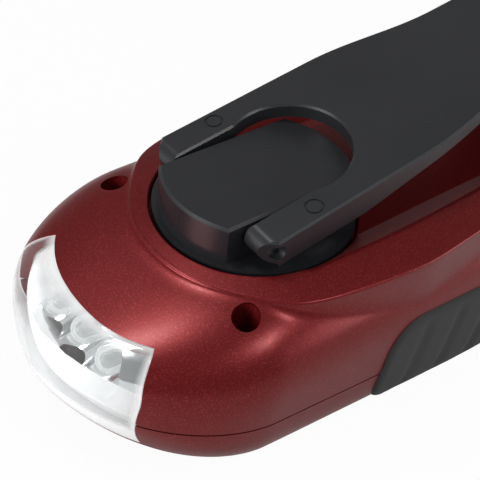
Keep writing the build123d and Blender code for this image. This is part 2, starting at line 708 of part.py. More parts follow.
def make_reflector():
    """Block behind the lens with three bowls that run into each other round the lamps."""
    gap = LENS_WALL + LENS_GAP
    back = NOSE_X + LAMP_BACK - LAMP_RIM_THICKNESS
    front = back - BOWL_DEPTH
    slab = box_between((front, -BIG, REFLECTOR_LOW), (back, BIG, BIG)) & lens_window(-REFLECTOR_INSET)
    block = slab & body_form(gap, gap, gap)
    for y in lamp_places():
        block = block - Pos(back, y, LAMP_HEIGHT) * Rot(0, -90, 0) * bowl_form()
    return block


def make_lamps():
    """Three round-nosed lamps on the lamp board, facing forward."""
    lamps = []
    back = NOSE_X + LAMP_BACK
    for y in lamp_places():
        barrel = rod(LAMP_RADIUS, 0, LAMP_LENGTH - LAMP_RADIUS)
        dome = Pos(0, 0, LAMP_LENGTH - LAMP_RADIUS) * Sphere(LAMP_RADIUS)
        lamp = rod(LAMP_RIM, 0, LAMP_RIM_THICKNESS) + barrel + dome
        lamps.append(Pos(back, y, LAMP_HEIGHT) * Rot(0, -90, 0) * lamp)
    return lamps


def make_lamp_board():
    """Upright circuit board that the lamps are soldered to."""
    x = NOSE_X + LAMP_BACK
    half = LAMP_PITCH + 2 * LAMP_RIM
    low = LAMP_HEIGHT - LAMP_BOARD_HEIGHT / 2
    return box_between((x, -half, low), (x + LAMP_BOARD_WALL, half, low + LAMP_BOARD_HEIGHT))


def make_hub():
    """Crank hub: a round boss with two flats, a flange under it and a shaft with a flat for the gear."""
    boss = rod(HUB_RADIUS, -HUB_STEP, 0) & box_between((-BIG, -HUB_FLAT, -BIG), (BIG, HUB_FLAT, BIG))
    boss = chamfer(boss.edges().group_by(Axis.Z)[-1], HUB_CHAMFER)
    flange_bottom = -(HUB_STEP + FLANGE_THICKNESS)
    shaft = rod(SHAFT_RADIUS, DRIVE_BOTTOM, flange_bottom)
    flat = box_between((SHAFT_FLAT, -BIG, -BIG), (BIG, BIG, DRIVE_TOP))
    hub = boss + rod(FLANGE_RADIUS, flange_bottom, -HUB_STEP) + (shaft - flat)
    hub = hub - rod(CRANK_SCREW_RADIUS + SEAT_GAP, DRIVE_BOTTOM - 1, DRIVE_BOTTOM + CRANK_SCREW_LENGTH)
    for side in (-1, 1):
        hub = hub - pin_bore(PIN_RADIUS + SEAT_GAP, side, HUB_FLAT - PIN_DEPTH, HUB_FLAT + 1)
    return in_hub_frame(hub)


def pin_bore(radius, side, start, end):
    """Cylinder on the arm's pivot axis, in the hub frame, from one distance off the middle to another."""
    return Pos(PIVOT_X, 0, PIVOT_Z) * Rot(-90 * side, 0, 0) * rod(radius, start, end)


def make_pivot_pins():
    """Two steel pins that the arm turns on, pressed into the hub's flats."""
    end = ARM_HALF_WIDTH - PIN_RECESS
    return [in_hub_frame(pin_bore(PIN_RADIUS, side, HUB_FLAT - PIN_DEPTH, end)) for side in (-1, 1)]


def make_bush():
    """Plain bearing of the crank shaft, pushed up into the bottom of the well."""
    top = -(HUB_STEP + FLANGE_THICKNESS + WELL_GAP)
    bottom = top - WELL_FLOOR
    bush = rod(BUSH_RADIUS, bottom, top) + rod(BUSH_FLANGE_RADIUS, bottom - BUSH_FLANGE, bottom)
    return in_hub_frame(bush - rod(SHAFT_RADIUS + RUNNING_GAP, bottom - 2, top + 2))


def gear_face(teeth, addendum, mate_addendum, phase):
    """Spur gear outline with involute flanks, thinned for backlash; one tooth points at the phase angle."""
    pitch = MODULE * teeth / 2
    base = pitch * math.cos(math.radians(PRESSURE_ANGLE))
    tip = pitch + addendum
    root = pitch - mate_addendum - ROOT_GAP
    flat = math.tan(math.radians(PRESSURE_ANGLE)) - math.radians(PRESSURE_ANGLE)
    half = math.pi / (2 * teeth) - FLANK_RELIEF / pitch
    start = max(base, root)
    flank = [(root, half + flat)] if root < base else []
    for step in range(GEAR_FLANK_POINTS):
        radius = start + (tip - start) * step / (GEAR_FLANK_POINTS - 1)
        roll = math.acos(min(base / radius, 1.0))
        flank.append((radius, half + flat - (math.tan(roll) - roll)))
    points = []
    for tooth in range(teeth):
        middle = math.radians(phase) + 2 * math.pi * tooth / teeth
        for radius, turn in flank:
            points.append((radius * math.cos(middle - turn), radius * math.sin(middle - turn)))
        for radius, turn in reversed(flank):
            points.append((radius * math.cos(middle + turn), radius * math.sin(middle + turn)))
    return Face(Wire(Polyline(*points, close=True)))


def gear(teeth, is_wheel, bottom, top, phase):
    """Spur gear between two heights in the hub frame."""
    wheel = WHEEL_ADDENDUM * MODULE
    pinion = PINION_ADDENDUM * MODULE
    own, mate = (wheel, pinion) if is_wheel else (pinion, wheel)
    return Pos(0, 0, bottom) * extrude(gear_face(teeth, own, mate, phase), top - bottom)


def gap_phase(teeth):
    """Phase that puts a tooth gap towards -X, where the driving gear has a tooth."""
    return 180 + 180 / teeth


def make_drive_gear():
    """Large gear on the crank shaft, driven by the shaft's flat."""
    wheel = gear(DRIVE_TEETH, True, DRIVE_BOTTOM, DRIVE_TOP, 0)
    bore = rod(SHAFT_RADIUS + SEAT_GAP, DRIVE_BOTTOM - 1, DRIVE_TOP + 1)
    flat = box_between((SHAFT_FLAT + SEAT_GAP, -BIG, -BIG), (BIG, BIG, BIG))
    return in_hub_frame(wheel - (bore - flat))


def make_crank_screw():
    """Screw and washer head that hold the drive gear on the shaft."""
    head = rod(CRANK_SCREW_HEAD, DRIVE_BOTTOM - CRANK_SCREW_HEAD_HEIGHT, DRIVE_BOTTOM)
    shank = rod(CRANK_SCREW_RADIUS, DRIVE_BOTTOM, DRIVE_BOTTOM + CRANK_SCREW_LENGTH - 1)
    return in_hub_frame(head + shank)


def make_idler(x, pinion_teeth, wheel_teeth, top, pinion_length):
    """Compound gear: a pinion above, a larger wheel below, on a fixed axle."""
    bottom = top - pinion_length - GEAR_GAP - WHEEL_THICKNESS
    pinion = gear(pinion_teeth, False, bottom + WHEEL_THICKNESS, top, gap_phase(pinion_teeth))
    wheel = gear(wheel_teeth, True, bottom, bottom + WHEEL_THICKNESS, 0)
    body = pinion + wheel - rod(AXLE_RADIUS + RUNNING_GAP, bottom - 1, top + 1)
    return in_hub_frame(Pos(x, 0, 0) * body)


def make_gear_plate():
    """Steel plate under the gears, carrying the axles and the rotor's bearing."""
    start = FIRST_AXLE - PLATE_LEAD
    end = ROTOR_AXLE + CAN_RADIUS
    plate = box_between((start, -GEAR_PLATE_HALF, PLATE_BOTTOM), (end, GEAR_PLATE_HALF, PLATE_TOP))
    reach = PLATE_POST_RADIUS + PLATE_MARGIN
    for x, y in plate_posts():
        low = (x - reach, min(0, y - reach), PLATE_BOTTOM)
        high = (x + reach, max(0, y + reach), PLATE_TOP)
        plate = plate + box_between(low, high)
    for x, y in plate_posts():
        plate = plate - Pos(x, y, 0) * rod(PLATE_SCREW_RADIUS + FIT_GAP, PLATE_BOTTOM - 1, PLATE_TOP + 1)
    for x in (FIRST_AXLE, SECOND_AXLE):
        plate = plate - Pos(x, 0, 0) * rod(AXLE_RADIUS + SEAT_GAP, PLATE_BOTTOM - 1, PLATE_TOP + 1)
    bearing = rod(ROTOR_SHAFT_RADIUS + RUNNING_GAP, PLATE_BOTTOM - 1, PLATE_TOP + 1)
    return in_hub_frame(plate - Pos(ROTOR_AXLE, 0, 0) * bearing)


def make_axles():
    """Two fixed steel axles between the roof and the gear plate."""
    places = (FIRST_AXLE, SECOND_AXLE)
    return [in_hub_frame(Pos(x, 0, 0) * rod(AXLE_RADIUS, PLATE_BOTTOM, axle_top())) for x in places]


def make_plate_screws():
    """Four screws that hold the gear plate up against its posts."""
    screws = []
    for x, y in plate_posts():
        head = rod(PLATE_SCREW_HEAD, PLATE_BOTTOM - PLATE_SCREW_HEAD_HEIGHT, PLATE_BOTTOM)
        shank = rod(PLATE_SCREW_RADIUS, PLATE_BOTTOM, PLATE_BOTTOM + PLATE_SCREW_LENGTH)
        screws.append(in_hub_frame(Pos(x, y, 0) * (head + shank)))
    return screws


def make_rotor():
    """Generator rotor: a steel shaft, the small pinion at its top and a ring magnet below the plate."""
    top = WHEEL_TWO_TOP + GEAR_GAP / 3
    magnet_top = PLATE_BOTTOM - MAGNET_GAP - CAN_WALL
    bottom = magnet_top - MAGNET_HEIGHT
    place = Pos(ROTOR_AXLE, 0, 0)
    shaft = rod(ROTOR_SHAFT_RADIUS, bottom, top)
    hole = rod(ROTOR_SHAFT_RADIUS + SEAT_GAP, bottom - 1, top + 1)
    pinion_bottom = WHEEL_TWO_TOP - WHEEL_THICKNESS - GEAR_GAP / 3
    pinion = gear(ROTOR_PINION_TEETH, False, pinion_bottom, top, gap_phase(ROTOR_PINION_TEETH)) - hole
    magnet = rod(MAGNET_RADIUS, bottom, magnet_top) - hole
    return [in_hub_frame(place * piece) for piece in (shaft, pinion, magnet)]


def make_stator():
    """Generator's fixed parts: a steel can hung under the plate and the coil inside it."""
    bottom = PLATE_BOTTOM - CAN_HEIGHT
    place = Pos(ROTOR_AXLE, 0, 0)
    can = rod(CAN_RADIUS, bottom, PLATE_BOTTOM)
    can = can - rod(CAN_RADIUS - CAN_WALL, bottom + CAN_WALL, PLATE_BOTTOM - CAN_WALL)
    can = can - rod(ROTOR_SHAFT_RADIUS * 2, PLATE_BOTTOM - 2 * CAN_WALL, PLATE_BOTTOM + 1)
    outer = CAN_RADIUS - CAN_WALL - COIL_GAP
    low = bottom + CAN_WALL
    coil = rod(outer, low, PLATE_BOTTOM - CAN_WALL - COIL_GAP)
    coil = coil - rod(MAGNET_RADIUS + MAGNET_GAP, low - 1, PLATE_BOTTOM + 1)
    return [in_hub_frame(place * piece) for piece in (can, coil)]


def make_case_screws():
    """Four case screws: the front pair go in from above, the rear pair from below."""
    front, rear = case_screw_places()
    screws = []
    for x, y in front:
        head = rod(SCREW_HEAD_RADIUS, SCREW_SEAT, SCREW_SEAT + SCREW_HEAD_HEIGHT)
        slot_floor = SCREW_SEAT + SCREW_HEAD_HEIGHT - SCREW_SLOT_DEPTH
        slot = box_between((-BIG, -SCREW_SLOT_HALF, slot_floor), (BIG, SCREW_SLOT_HALF, BIG))
        shank = rod(SCREW_RADIUS, SCREW_SEAT - SCREW_LENGTH, SCREW_SEAT)
        screws.append(Pos(x, y, 0) * (head + shank - slot))
    for x, y in rear:
        seat = rear_seat()
        head = rod(SCREW_HEAD_RADIUS, seat - SCREW_HEAD_HEIGHT, seat)
        slot_floor = seat - SCREW_HEAD_HEIGHT + SCREW_SLOT_DEPTH
        slot = box_between((-BIG, -SCREW_SLOT_HALF, -BIG), (BIG, SCREW_SLOT_HALF, slot_floor))
        shank = rod(SCREW_RADIUS, seat, seat + SCREW_LENGTH)
        screws.append(Pos(x, y, 0) * (head + shank - slot))
    return screws


def arm_plan(inset):
    """Outline of the arm seen from above, drawn in by an inset at its sides and end."""
    half = ARM_HALF_WIDTH - inset
    waist = ARM_WAIST - inset
    tip = half - ARM_TIP_CHAMFER
    lines = []
    for side in (-1, 1):
        lines.append(Line((ARM_TIP_AT, side * tip), (ARM_TIP_AT + ARM_TIP_CHAMFER, side * half)))
        lines.append(Line((ARM_TIP_AT + ARM_TIP_CHAMFER, side * half), (ARM_TAPER_START, side * half)))
        bend = [(ARM_TAPER_START, side * half), (ARM_WAIST_AT, side * waist)]
        lines.append(Spline(*bend, tangents=[(1, 0), (1, 0)]))
        lines.append(Line((ARM_WAIST_AT, side * waist), (ARM_KNOB_AT, side * waist)))
    end = (ARM_KNOB_AT + waist, 0)
    lines.append(ThreePointArc((ARM_KNOB_AT, -waist), end, (ARM_KNOB_AT, waist)))
    lines.append(Line((ARM_TIP_AT, -tip), (ARM_TIP_AT, tip)))
    return Face(Wire(lines))


def arm_side():
    """Side outline of the arm: deep beside the hub, thinning to the plain web towards the knob."""
    end = ARM_KNOB_AT + 2 * ARM_WAIST
    thin = -ARM_WEB
    deep = -ARM_RIM_DEPTH
    pivot = PIVOT_FROM_FRONT
    bend = [(ARM_RIM_FULL_TO, deep), (ARM_RIM_ENDS_AT, thin)]
    lines = [
        Line((pivot, 0), (end, 0)),
        Line((end, 0), (end, thin)),
        Line((end, thin), bend[1]),
        Spline(*reversed(bend), tangents=[(-1, 0), (-1, -0.12)]),
        Line(bend[0], (pivot, deep)),
        Line((pivot, deep), (pivot, 0)),
    ]
    tip = Pos(pivot, -PIVOT_BELOW_TOP) * Circle(PIVOT_BELOW_TOP)
    profile = Plane.XZ * (Face(Wire(lines)) + tip)
    return extrude(profile, BIG / 2, both=True)


def make_arm():
    """Folding crank arm: a flat bar with turned-down sides, forked round the hub."""
    slot = Pos(ARM_SLOT_AT, 0) * Circle(ARM_SLOT_RADIUS)
    slot = slot + Pos(ARM_SLOT_AT / 2 - 1, 0) * Rectangle(ARM_SLOT_AT + 2, 2 * ARM_SLOT_HALF)
    plate = Pos(0, 0, -BIG / 8) * extrude(arm_plan(0) - slot, BIG / 8)
    plate = chamfer(plate.faces().sort_by(Axis.Z)[-1].edges(), ARM_EDGE)
    hollow = Pos(0, 0, -BIG / 8) * extrude(arm_plan(ARM_RIM_WIDTH), BIG / 8 - ARM_WEB)
    hollow = hollow - box_between((-BIG, -BIG, -BIG), (PIVOT_FROM_FRONT + TINE_BOSS, BIG, BIG))
    arm = (plate - hollow) & arm_side()
    boss = Pos(ARM_KNOB_AT, 0, 0) * rod(KNOB_PIN_HEAD, -ARM_WEB - KNOB_GAP / 2, -ARM_WEB)
    arm = arm + boss - Pos(ARM_KNOB_AT, 0, 0) * rod(KNOB_PIN_RADIUS + SEAT_GAP, -BIG, 1)
    pivot = Pos(PIVOT_FROM_FRONT, 0, -PIVOT_BELOW_TOP) * Rot(90, 0, 0)
    arm = arm - pivot * rod(PIN_HOLE_RADIUS, -BIG, BIG)
    for side in (-1, 1):
        mark = Pos(EJECTOR_AT, side * EJECTOR_SIDE, 0)
        arm = arm - mark * (rod(EJECTOR_RADIUS, -EJECTOR_DEPTH, 1) - rod(EJECTOR_RADIUS - EJECTOR_RING, -1, 2))
    return in_arm_frame(arm)


def knob_span():
    """Heights of the knob's top and bottom in the arm's frame."""
    top = -ARM_WEB - KNOB_GAP
    return top, top - KNOB_LENGTH


def make_knob():
    """Barrel-shaped knob that turns on its pin, with a recess below for the pin's head."""
    top, bottom = knob_span()
    middle = (top + bottom) / 2
    bore = KNOB_PIN_RADIUS + RUNNING_GAP
    head = KNOB_PIN_HEAD + KNOB_HEAD_GAP
    recess = bottom + KNOB_PIN_HEAD_HEIGHT + KNOB_HEAD_GAP
    edge = KNOB_EDGE
    lines = [
        Line((bore, top), (KNOB_END_RADIUS - edge, top)),
        Line((KNOB_END_RADIUS - edge, top), (KNOB_END_RADIUS, top - edge)),
        ThreePointArc((KNOB_END_RADIUS, top - edge), (KNOB_RADIUS, middle), (KNOB_END_RADIUS, bottom + edge)),
        Line((KNOB_END_RADIUS, bottom + edge), (KNOB_END_RADIUS - edge, bottom)),
        Line((KNOB_END_RADIUS - edge, bottom), (head, bottom)),
        Line((head, bottom), (head, recess)),
        Line((head, recess), (bore, recess)),
        Line((bore, recess), (bore, top)),
    ]
    knob = revolve(Plane.XZ * Face(Wire(lines)), Axis.Z)
    return in_arm_frame(Pos(ARM_KNOB_AT, 0, 0) * knob)


def make_knob_pin():
    """Pin through the arm's end that carries the knob, its head in the knob's recess."""
    bottom = knob_span()[1]
    pin = rod(KNOB_PIN_RADIUS, bottom, -ARM_EDGE) + rod(KNOB_PIN_HEAD, bottom, bottom + KNOB_PIN_HEAD_HEIGHT)
    return in_arm_frame(Pos(ARM_KNOB_AT, 0, 0) * pin)


def make_button():
    """Push button: a round cap with a flange that keeps it in its sleeve."""
    cap = rod(BUTTON_RADIUS, -BUTTON_SINK - FIT_GAP, BUTTON_PROUD)
    cap = fillet(cap.edges().group_by(Axis.Z)[-1], BUTTON_PROUD * 0.6)
    low = -BUTTON_SINK - FIT_GAP
    flange = rod(BUTTON_FLANGE_RADIUS, low - BUTTON_FLANGE, low)
    return in_button_frame(cap + flange)


def make_switch():
    """Switch behind the button, held in the sleeve, with its plunger towards the button."""
    bottom = -sleeve_depth() - FIT_GAP
    body = rod(BUTTON_FLANGE_RADIUS + BUTTON_GAP - SEAT_GAP, bottom, bottom + SWITCH_LENGTH)
    plunger = rod(PLUNGER_RADIUS, bottom + SWITCH_LENGTH, bottom + SWITCH_LENGTH + PLUNGER_LENGTH)
    return in_button_frame(body + plunger)


def make_cells():
    """Battery of three button cells in a row along X."""
    cells = []
    for step in range(CELL_COUNT):
        cell = rod(CELL_RADIUS, step * CELL_LENGTH + SEAT_GAP, (step + 1) * CELL_LENGTH)
        cells.append(Pos(CELL_START, 0, CELL_AXIS_HEIGHT) * Rot(0, 90, 0) * cell)
    return cells


def make_contacts():
    """Two contact plates at the ends of the battery."""
    half = CELL_RADIUS * CONTACT_SHARE
    low = CELL_AXIS_HEIGHT - half
    high = CELL_AXIS_HEIGHT + half
    plates = []
    for x in (CELL_START - CONTACT_THICKNESS, CELL_START + CELL_COUNT * CELL_LENGTH):
        plates.append(box_between((x, -half, low), (x + CONTACT_THICKNESS, half, high)))
    return plates


def make_board():
    """Control board lying on its rails."""
    low = (BOARD_START, -BOARD_WIDTH / 2, BOARD_HEIGHT)
    high = (BOARD_START + BOARD_LENGTH, BOARD_WIDTH / 2, BOARD_HEIGHT + BOARD_THICKNESS)
    return box_between(low, high)


def make_board_parts():
    """Capacitor and rectifier on the control board."""
    top = BOARD_HEIGHT + BOARD_THICKNESS
    x = BOARD_START + BOARD_LENGTH * 0.7
    can = Pos(x, 0, 0) * rod(CAPACITOR_RADIUS, top, top + CAPACITOR_HEIGHT)
    corner = BOARD_START + BOARD_LENGTH * 0.2
    chip_end = (corner + CHIP_LENGTH, CAPACITOR_RADIUS, top + CHIP_HEIGHT)
    chip = box_between((corner, -CAPACITOR_RADIUS, top), chip_end)
    return [can, chip]


def save(name, shape):
    """Writes one piece, or one group of like pieces, to its own file."""
    pieces = shape if isinstance(shape, list) else [shape]
    solids = [solid for piece in pieces for solid in piece.solids()]
    whole = solids[0] if len(solids) == 1 else Compound(children=solids)
    whole.label = name
    export_step(whole, "parts/" + name + ".step")


def main():
    """Builds every piece of the flashlight and writes it out."""
    os.makedirs("parts", exist_ok=True)
    upper, lower = make_shells()
    save("upper_shell", upper)
    save("lower_shell", lower)
    save("seam_lip", make_seam_lip())
    save("side_grip_right", make_grip(-1))
    save("side_grip_left", make_grip(1))
    save("lens", make_lens())
    save("reflector", make_reflector())
    save("lamps", make_lamps())
    save("lamp_board", make_lamp_board())
    save("hub_bush", make_bush())
    save("gear_plate", make_gear_plate())
    save("gear_axles", make_axles())
    save("plate_screws", make_plate_screws())
    save("case_screws", make_case_screws())
    can, coil = make_stator()
    save("stator_can", can)
    save("stator_coil", coil)
    save("battery_cells", make_cells())
    save("battery_contacts", make_contacts())
    save("control_board", make_board())
    save("board_parts", make_board_parts())
    save("power_switch", make_switch())
    save("power_button", make_button())
    save("crank_hub", make_hub())
    save("drive_gear", make_drive_gear())
    save("crank_screw", make_crank_screw())
    save("pivot_pins", make_pivot_pins())
    save("crank_arm", make_arm())
    save("knob_pin", make_knob_pin())
    save("crank_knob", make_knob())
    first = make_idler(FIRST_AXLE, FIRST_PINION_TEETH, FIRST_WHEEL_TEETH, DRIVE_TOP, DRIVE_THICKNESS)
    save("front_idler", first)
    second = make_idler(SECOND_AXLE, SECOND_PINION_TEETH, SECOND_WHEEL_TEETH, WHEEL_ONE_TOP, WHEEL_THICKNESS)
    save("rear_idler", second)
    shaft, pinion, magnet = make_rotor()
    save("rotor_shaft", shaft)
    save("rotor_pinion", pinion)
    save("rotor_magnet", magnet)


if __name__ == "__main__":
    main()
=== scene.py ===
import math

import bpy
import numpy as np
from mathutils import Matrix, Vector


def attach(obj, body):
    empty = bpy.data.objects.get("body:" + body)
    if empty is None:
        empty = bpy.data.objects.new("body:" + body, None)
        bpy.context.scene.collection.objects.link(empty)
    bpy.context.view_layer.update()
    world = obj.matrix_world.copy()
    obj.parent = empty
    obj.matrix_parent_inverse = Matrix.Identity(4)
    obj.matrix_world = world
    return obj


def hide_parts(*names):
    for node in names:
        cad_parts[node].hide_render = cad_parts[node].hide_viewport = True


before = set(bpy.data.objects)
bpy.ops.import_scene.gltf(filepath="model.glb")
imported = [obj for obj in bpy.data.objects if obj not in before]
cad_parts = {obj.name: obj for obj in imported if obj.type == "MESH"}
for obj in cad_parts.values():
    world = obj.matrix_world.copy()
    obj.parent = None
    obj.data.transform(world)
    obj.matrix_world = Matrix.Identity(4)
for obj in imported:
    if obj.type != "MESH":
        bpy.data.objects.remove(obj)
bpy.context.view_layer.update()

bl_info = {
    "name": "Hand crank flashlight",
    "version": (1, 0, 0),
    "blender": (4, 5, 0),
    "location": "3D View > Sidebar > Flashlight",
    "description": "Dresses the packed frame of a hand crank flashlight: shells, lens, grips, finishes and stage",
    "category": "Add Mesh",
}

MM = 0.001

# Form of the housing, in millimetres in the row frame
NOSE_X = -67.5
TAIL_X = 60.5
HUB_X = -26.5
HUB_HEIGHT = 43.0
NOSE_RUN = 29.5
TAIL_RUN = 58.0
TAIL_TOP_RUN = 30.0
KEEL_RUN = 40.0
NOSE_HEIGHT = 21.6
TAIL_HEIGHT = 17.0
WIDEST_HEIGHT = 14.0
NOSE_SLOPE = 0.43
ROOF_HEIGHT = 35.8
ROOF_SLOPE = 0.15
CREST_RUN = 72.0
KEEL_DROP = 0.8
SEAM_HEIGHT = 14.4
SEAM_HALF = 0.15
HUB_TILT = 9.5

# Powers and roots of the housing's rounded runs, and how square its sections are
TOP_BLEND = 1.2
NOSE_FADE = (1.85, 1.85)
TAIL_FADE = (3.4, 2.6)
TAIL_TOP_FADE = (3.2, 3.0)
KEEL_FADE = (2.8, 2.8)
LIFT_POWER = 3
SQUARE_ABOVE = 3.6
SQUARE_BELOW = 3.0
NOSE_SOFTENING = 1.1
INSET_FROM = -20.0
LEAST = 1e-3
FAR = 1e3
HALVINGS = 44


class Sizes(bpy.types.PropertyGroup):
    """Sizes of the dressed pieces that a user would change."""

    half_width: bpy.props.FloatProperty(
        name="Housing half width", description="Half of the housing's width at its widest line",
        default=0.0294, unit="LENGTH")
    crest_round: bpy.props.FloatProperty(
        name="Crest rounding", description="Radius of the deck's outer edge",
        default=0.0004, unit="LENGTH")
    valley_reach: bpy.props.FloatProperty(
        name="Valley reach", description="How far the hollow below the deck's edge runs out over the shell",
        default=0.0032, unit="LENGTH")
    lens_wall: bpy.props.FloatProperty(
        name="Lens wall", description="Thickness of the clear lens", default=0.0018, unit="LENGTH")
    lens_gap: bpy.props.FloatProperty(
        name="Lens gap", description="Gap between the lens and the shells round it",
        default=0.00012, unit="LENGTH")
    grip_proud: bpy.props.FloatProperty(
        name="Grip height", description="How far the grips stand out of the shell",
        default=0.0008, unit="LENGTH")
    rows: bpy.props.IntProperty(
        name="Rows", description="Rows of faces round the housing", default=480, min=96, max=960)


class Colours(bpy.types.PropertyGroup):
    """Colours of the flashlight's finishes."""

    lacquer: bpy.props.FloatVectorProperty(
        name="Lacquer", description="Metallic red of the shells", subtype="COLOR", size=3, min=0, max=1,
        default=(0.165, 0.0055, 0.0065))
    plastic: bpy.props.FloatVectorProperty(
        name="Black plastic", description="Moulded black of the crank", subtype="COLOR", size=3, min=0, max=1,
        default=(0.012, 0.0125, 0.0145))
    rubber: bpy.props.FloatVectorProperty(
        name="Grip rubber", description="Soft grips", subtype="COLOR", size=3, min=0, max=1,
        default=(0.018, 0.018, 0.020))
    floor: bpy.props.FloatVectorProperty(
        name="Floor", description="Pale floor and backdrop", subtype="COLOR", size=3, min=0, max=1,
        default=(0.80, 0.80, 0.80))


# ---------------------------------------------------------------- shader maths


class Wire:
    """A shader socket that takes part in sums: each operator adds its Math node."""

    def __init__(self, finish, socket):
        self.finish = finish
        self.socket = socket

    def _math(self, operation, *terms, clamp=False):
        settings = {"operation": operation, "use_clamp": clamp}
        return Wire(self.finish, self.finish.add("ShaderNodeMath", settings, dict(enumerate(terms))).outputs[0])

    def __add__(self, other):
        return self._math("ADD", self, other)

    def __mul__(self, other):
        return self._math("MULTIPLY", self, other)

    def __pow__(self, other):
        return self._math("POWER", self, other)

    def clamped(self):
        return self._math("ADD", self, 0.0, clamp=True)

    def above(self, edge, soft):
        """0 below the edge and 1 above it, with a smooth change over a width."""
        low, high = edge - soft / 2, edge + soft / 2
        node = self.finish.add("ShaderNodeMapRange", {"interpolation_type": "SMOOTHSTEP"},
                               {"Value": self, "From Min": low, "From Max": high, "To Min": 0.0, "To Max": 1.0})
        return Wire(self.finish, node.outputs["Result"])


class Finish:
    """The nodes of one procedural material, or of another node tree that is handed in."""

    def __init__(self, name, tree=None, output="ShaderNodeOutputMaterial"):
        if tree is None:
            self.material = bpy.data.materials.new(name)
            self.material.use_nodes = True
            tree = self.material.node_tree
        self.tree = tree
        self.tree.nodes.clear()
        self.output = self.add(output)

    def add(self, kind, settings=None, sockets=None):
        """Adds a node, sets its settings first, then gives its sockets values or links."""
        node = self.tree.nodes.new(kind)
        for key, value in (settings or {}).items():
            setattr(node, key, value)
        for key, value in (sockets or {}).items():
            if isinstance(value, Wire):
                value = value.socket
            if hasattr(value, "is_output"):
                self.tree.links.new(value, node.inputs[key])
            else:
                node.inputs[key].default_value = value
        return node

    def show(self, node):
        """Links a shader node to the output's surface."""
        self.tree.links.new(node.outputs[0], self.output.inputs["Surface"])

    def place(self):
        """Object coordinates, in metres."""
        return self.add("ShaderNodeTexCoord").outputs["Object"]

    def parts(self, vector):
        """The three numbers of a vector."""
        node = self.add("ShaderNodeSeparateXYZ", None, {0: vector})
        return [Wire(self, node.outputs[i]) for i in range(3)]

    def noise(self, vector, scale, detail=3.0, rough=0.5):
        """Soft noise between 0 and 1."""
        node = self.add("ShaderNodeTexNoise", None,
                        {"Vector": vector, "Scale": scale, "Detail": detail, "Roughness": rough})
        return Wire(self, node.outputs["Fac"])

    def cells(self, vector, scale):
        """Distance to the nearest of many scattered points."""
        node = self.add("ShaderNodeTexVoronoi", None, {"Vector": vector, "Scale": scale})
        return Wire(self, node.outputs["Distance"])

    def mix(self, factor, first, second):
        """Colour between two colours."""
        node = self.add("ShaderNodeMix", {"data_type": "RGBA"}, {0: factor, 6: first, 7: second})
        return node.outputs[2]

    def bump(self, height, strength, distance):
        """Normal tipped by the slope of a height."""
        node = self.add("ShaderNodeBump", None, {"Height": height, "Strength": strength, "Distance": distance})
        return node.outputs["Normal"]

    def surface(self, **sockets):
        """Principled shader, with the socket names written with underscores."""
        named = {key.replace("_", " "): value for key, value in sockets.items()}
        self.show(self.add("ShaderNodeBsdfPrincipled", None, named))
        return self.material


WHITE = (1.0, 1.0, 1.0, 1.0)


def opaque(colour):
    """A colour with its alpha."""
    return (*colour, 1.0)


def red_lacquer(colour):
    """Satin metallic lacquer: a fine sparkle of flakes over slow cloudy changes of depth."""
    finish = Finish("red_lacquer")
    place = finish.place()
    spark = finish.noise(place, 3600.0, 2.0, 0.7).above(0.60, 0.16)
    cloud = finish.noise(place, 60.0, 3.0)
    deep = tuple(c * 0.80 for c in colour)
    bright = (min(colour[0] * 1.9, 1.0), colour[1] * 4.0 + 0.012, colour[2] * 4.0 + 0.012)
    base = finish.mix(cloud, opaque(deep), opaque(colour))
    base = finish.mix(spark * 0.55, base, opaque(bright))
    rough = finish.noise(place, 2400.0, 2.0) * 0.10 + 0.30
    grain = finish.noise(place, 2600.0, 2.0, 0.6)
    return finish.surface(
        Base_Color=base, Metallic=0.55, Roughness=rough, Specular_IOR_Level=0.4,
        Coat_Weight=0.12, Coat_Roughness=0.2, Normal=finish.bump(grain, 0.07, 0.00004))


def black_plastic(colour):
    """Moulded black plastic: a fine spark-eroded grain and faint flow marks."""
    finish = Finish("black_plastic")
    place = finish.place()
    flow = finish.noise(place, 45.0, 4.0)
    fine = finish.noise(place, 2600.0, 2.0, 0.6)
    lighter = tuple(c * 1.5 + 0.002 for c in colour)
    base = finish.mix(flow, opaque(colour), opaque(lighter))
    return finish.surface(Base_Color=base, Roughness=flow * 0.10 + 0.29, Specular_IOR_Level=0.5,
                          Normal=finish.bump(fine, 0.10, 0.00006))


def hub_plastic(colour):
    """Black hub: matt turned-looking face, glossier wall, faint rings about the hub's centre."""
    finish = Finish("hub_plastic")
    place = finish.place()
    turned = finish.add("ShaderNodeMapping", {"vector_type": "TEXTURE"}, {
        "Vector": place, "Location": (HUB_X * MM, 0.0, HUB_HEIGHT * MM),
        "Rotation": (0.0, math.radians(-HUB_TILT), 0.0)})
    x, y, z = finish.parts(turned.outputs[0])
    face = z.above(-0.0004, 0.0003)
    radius = (x * x + y * y) ** 0.5
    rings = finish.noise(place, 900.0, 2.0) * 0.5 + (radius * 1400.0)
    wave = finish.add("ShaderNodeTexNoise", {"noise_dimensions": "1D"}, {"W": rings, "Scale": 1.0, "Detail": 2.0})
    scuff = finish.noise(place, 120.0, 5.0, 0.65)
    roughness = face * 0.16 + (scuff * 0.16 + 0.16)
    lighter = tuple(c * 1.35 for c in colour)
    base = finish.mix(scuff, opaque(colour), opaque(lighter))
    height = Wire(finish, wave.outputs["Fac"]) * 0.3 + finish.noise(place, 2400.0, 2.0)
    return finish.surface(Base_Color=base, Roughness=roughness, Normal=finish.bump(height, 0.10, 0.00005))


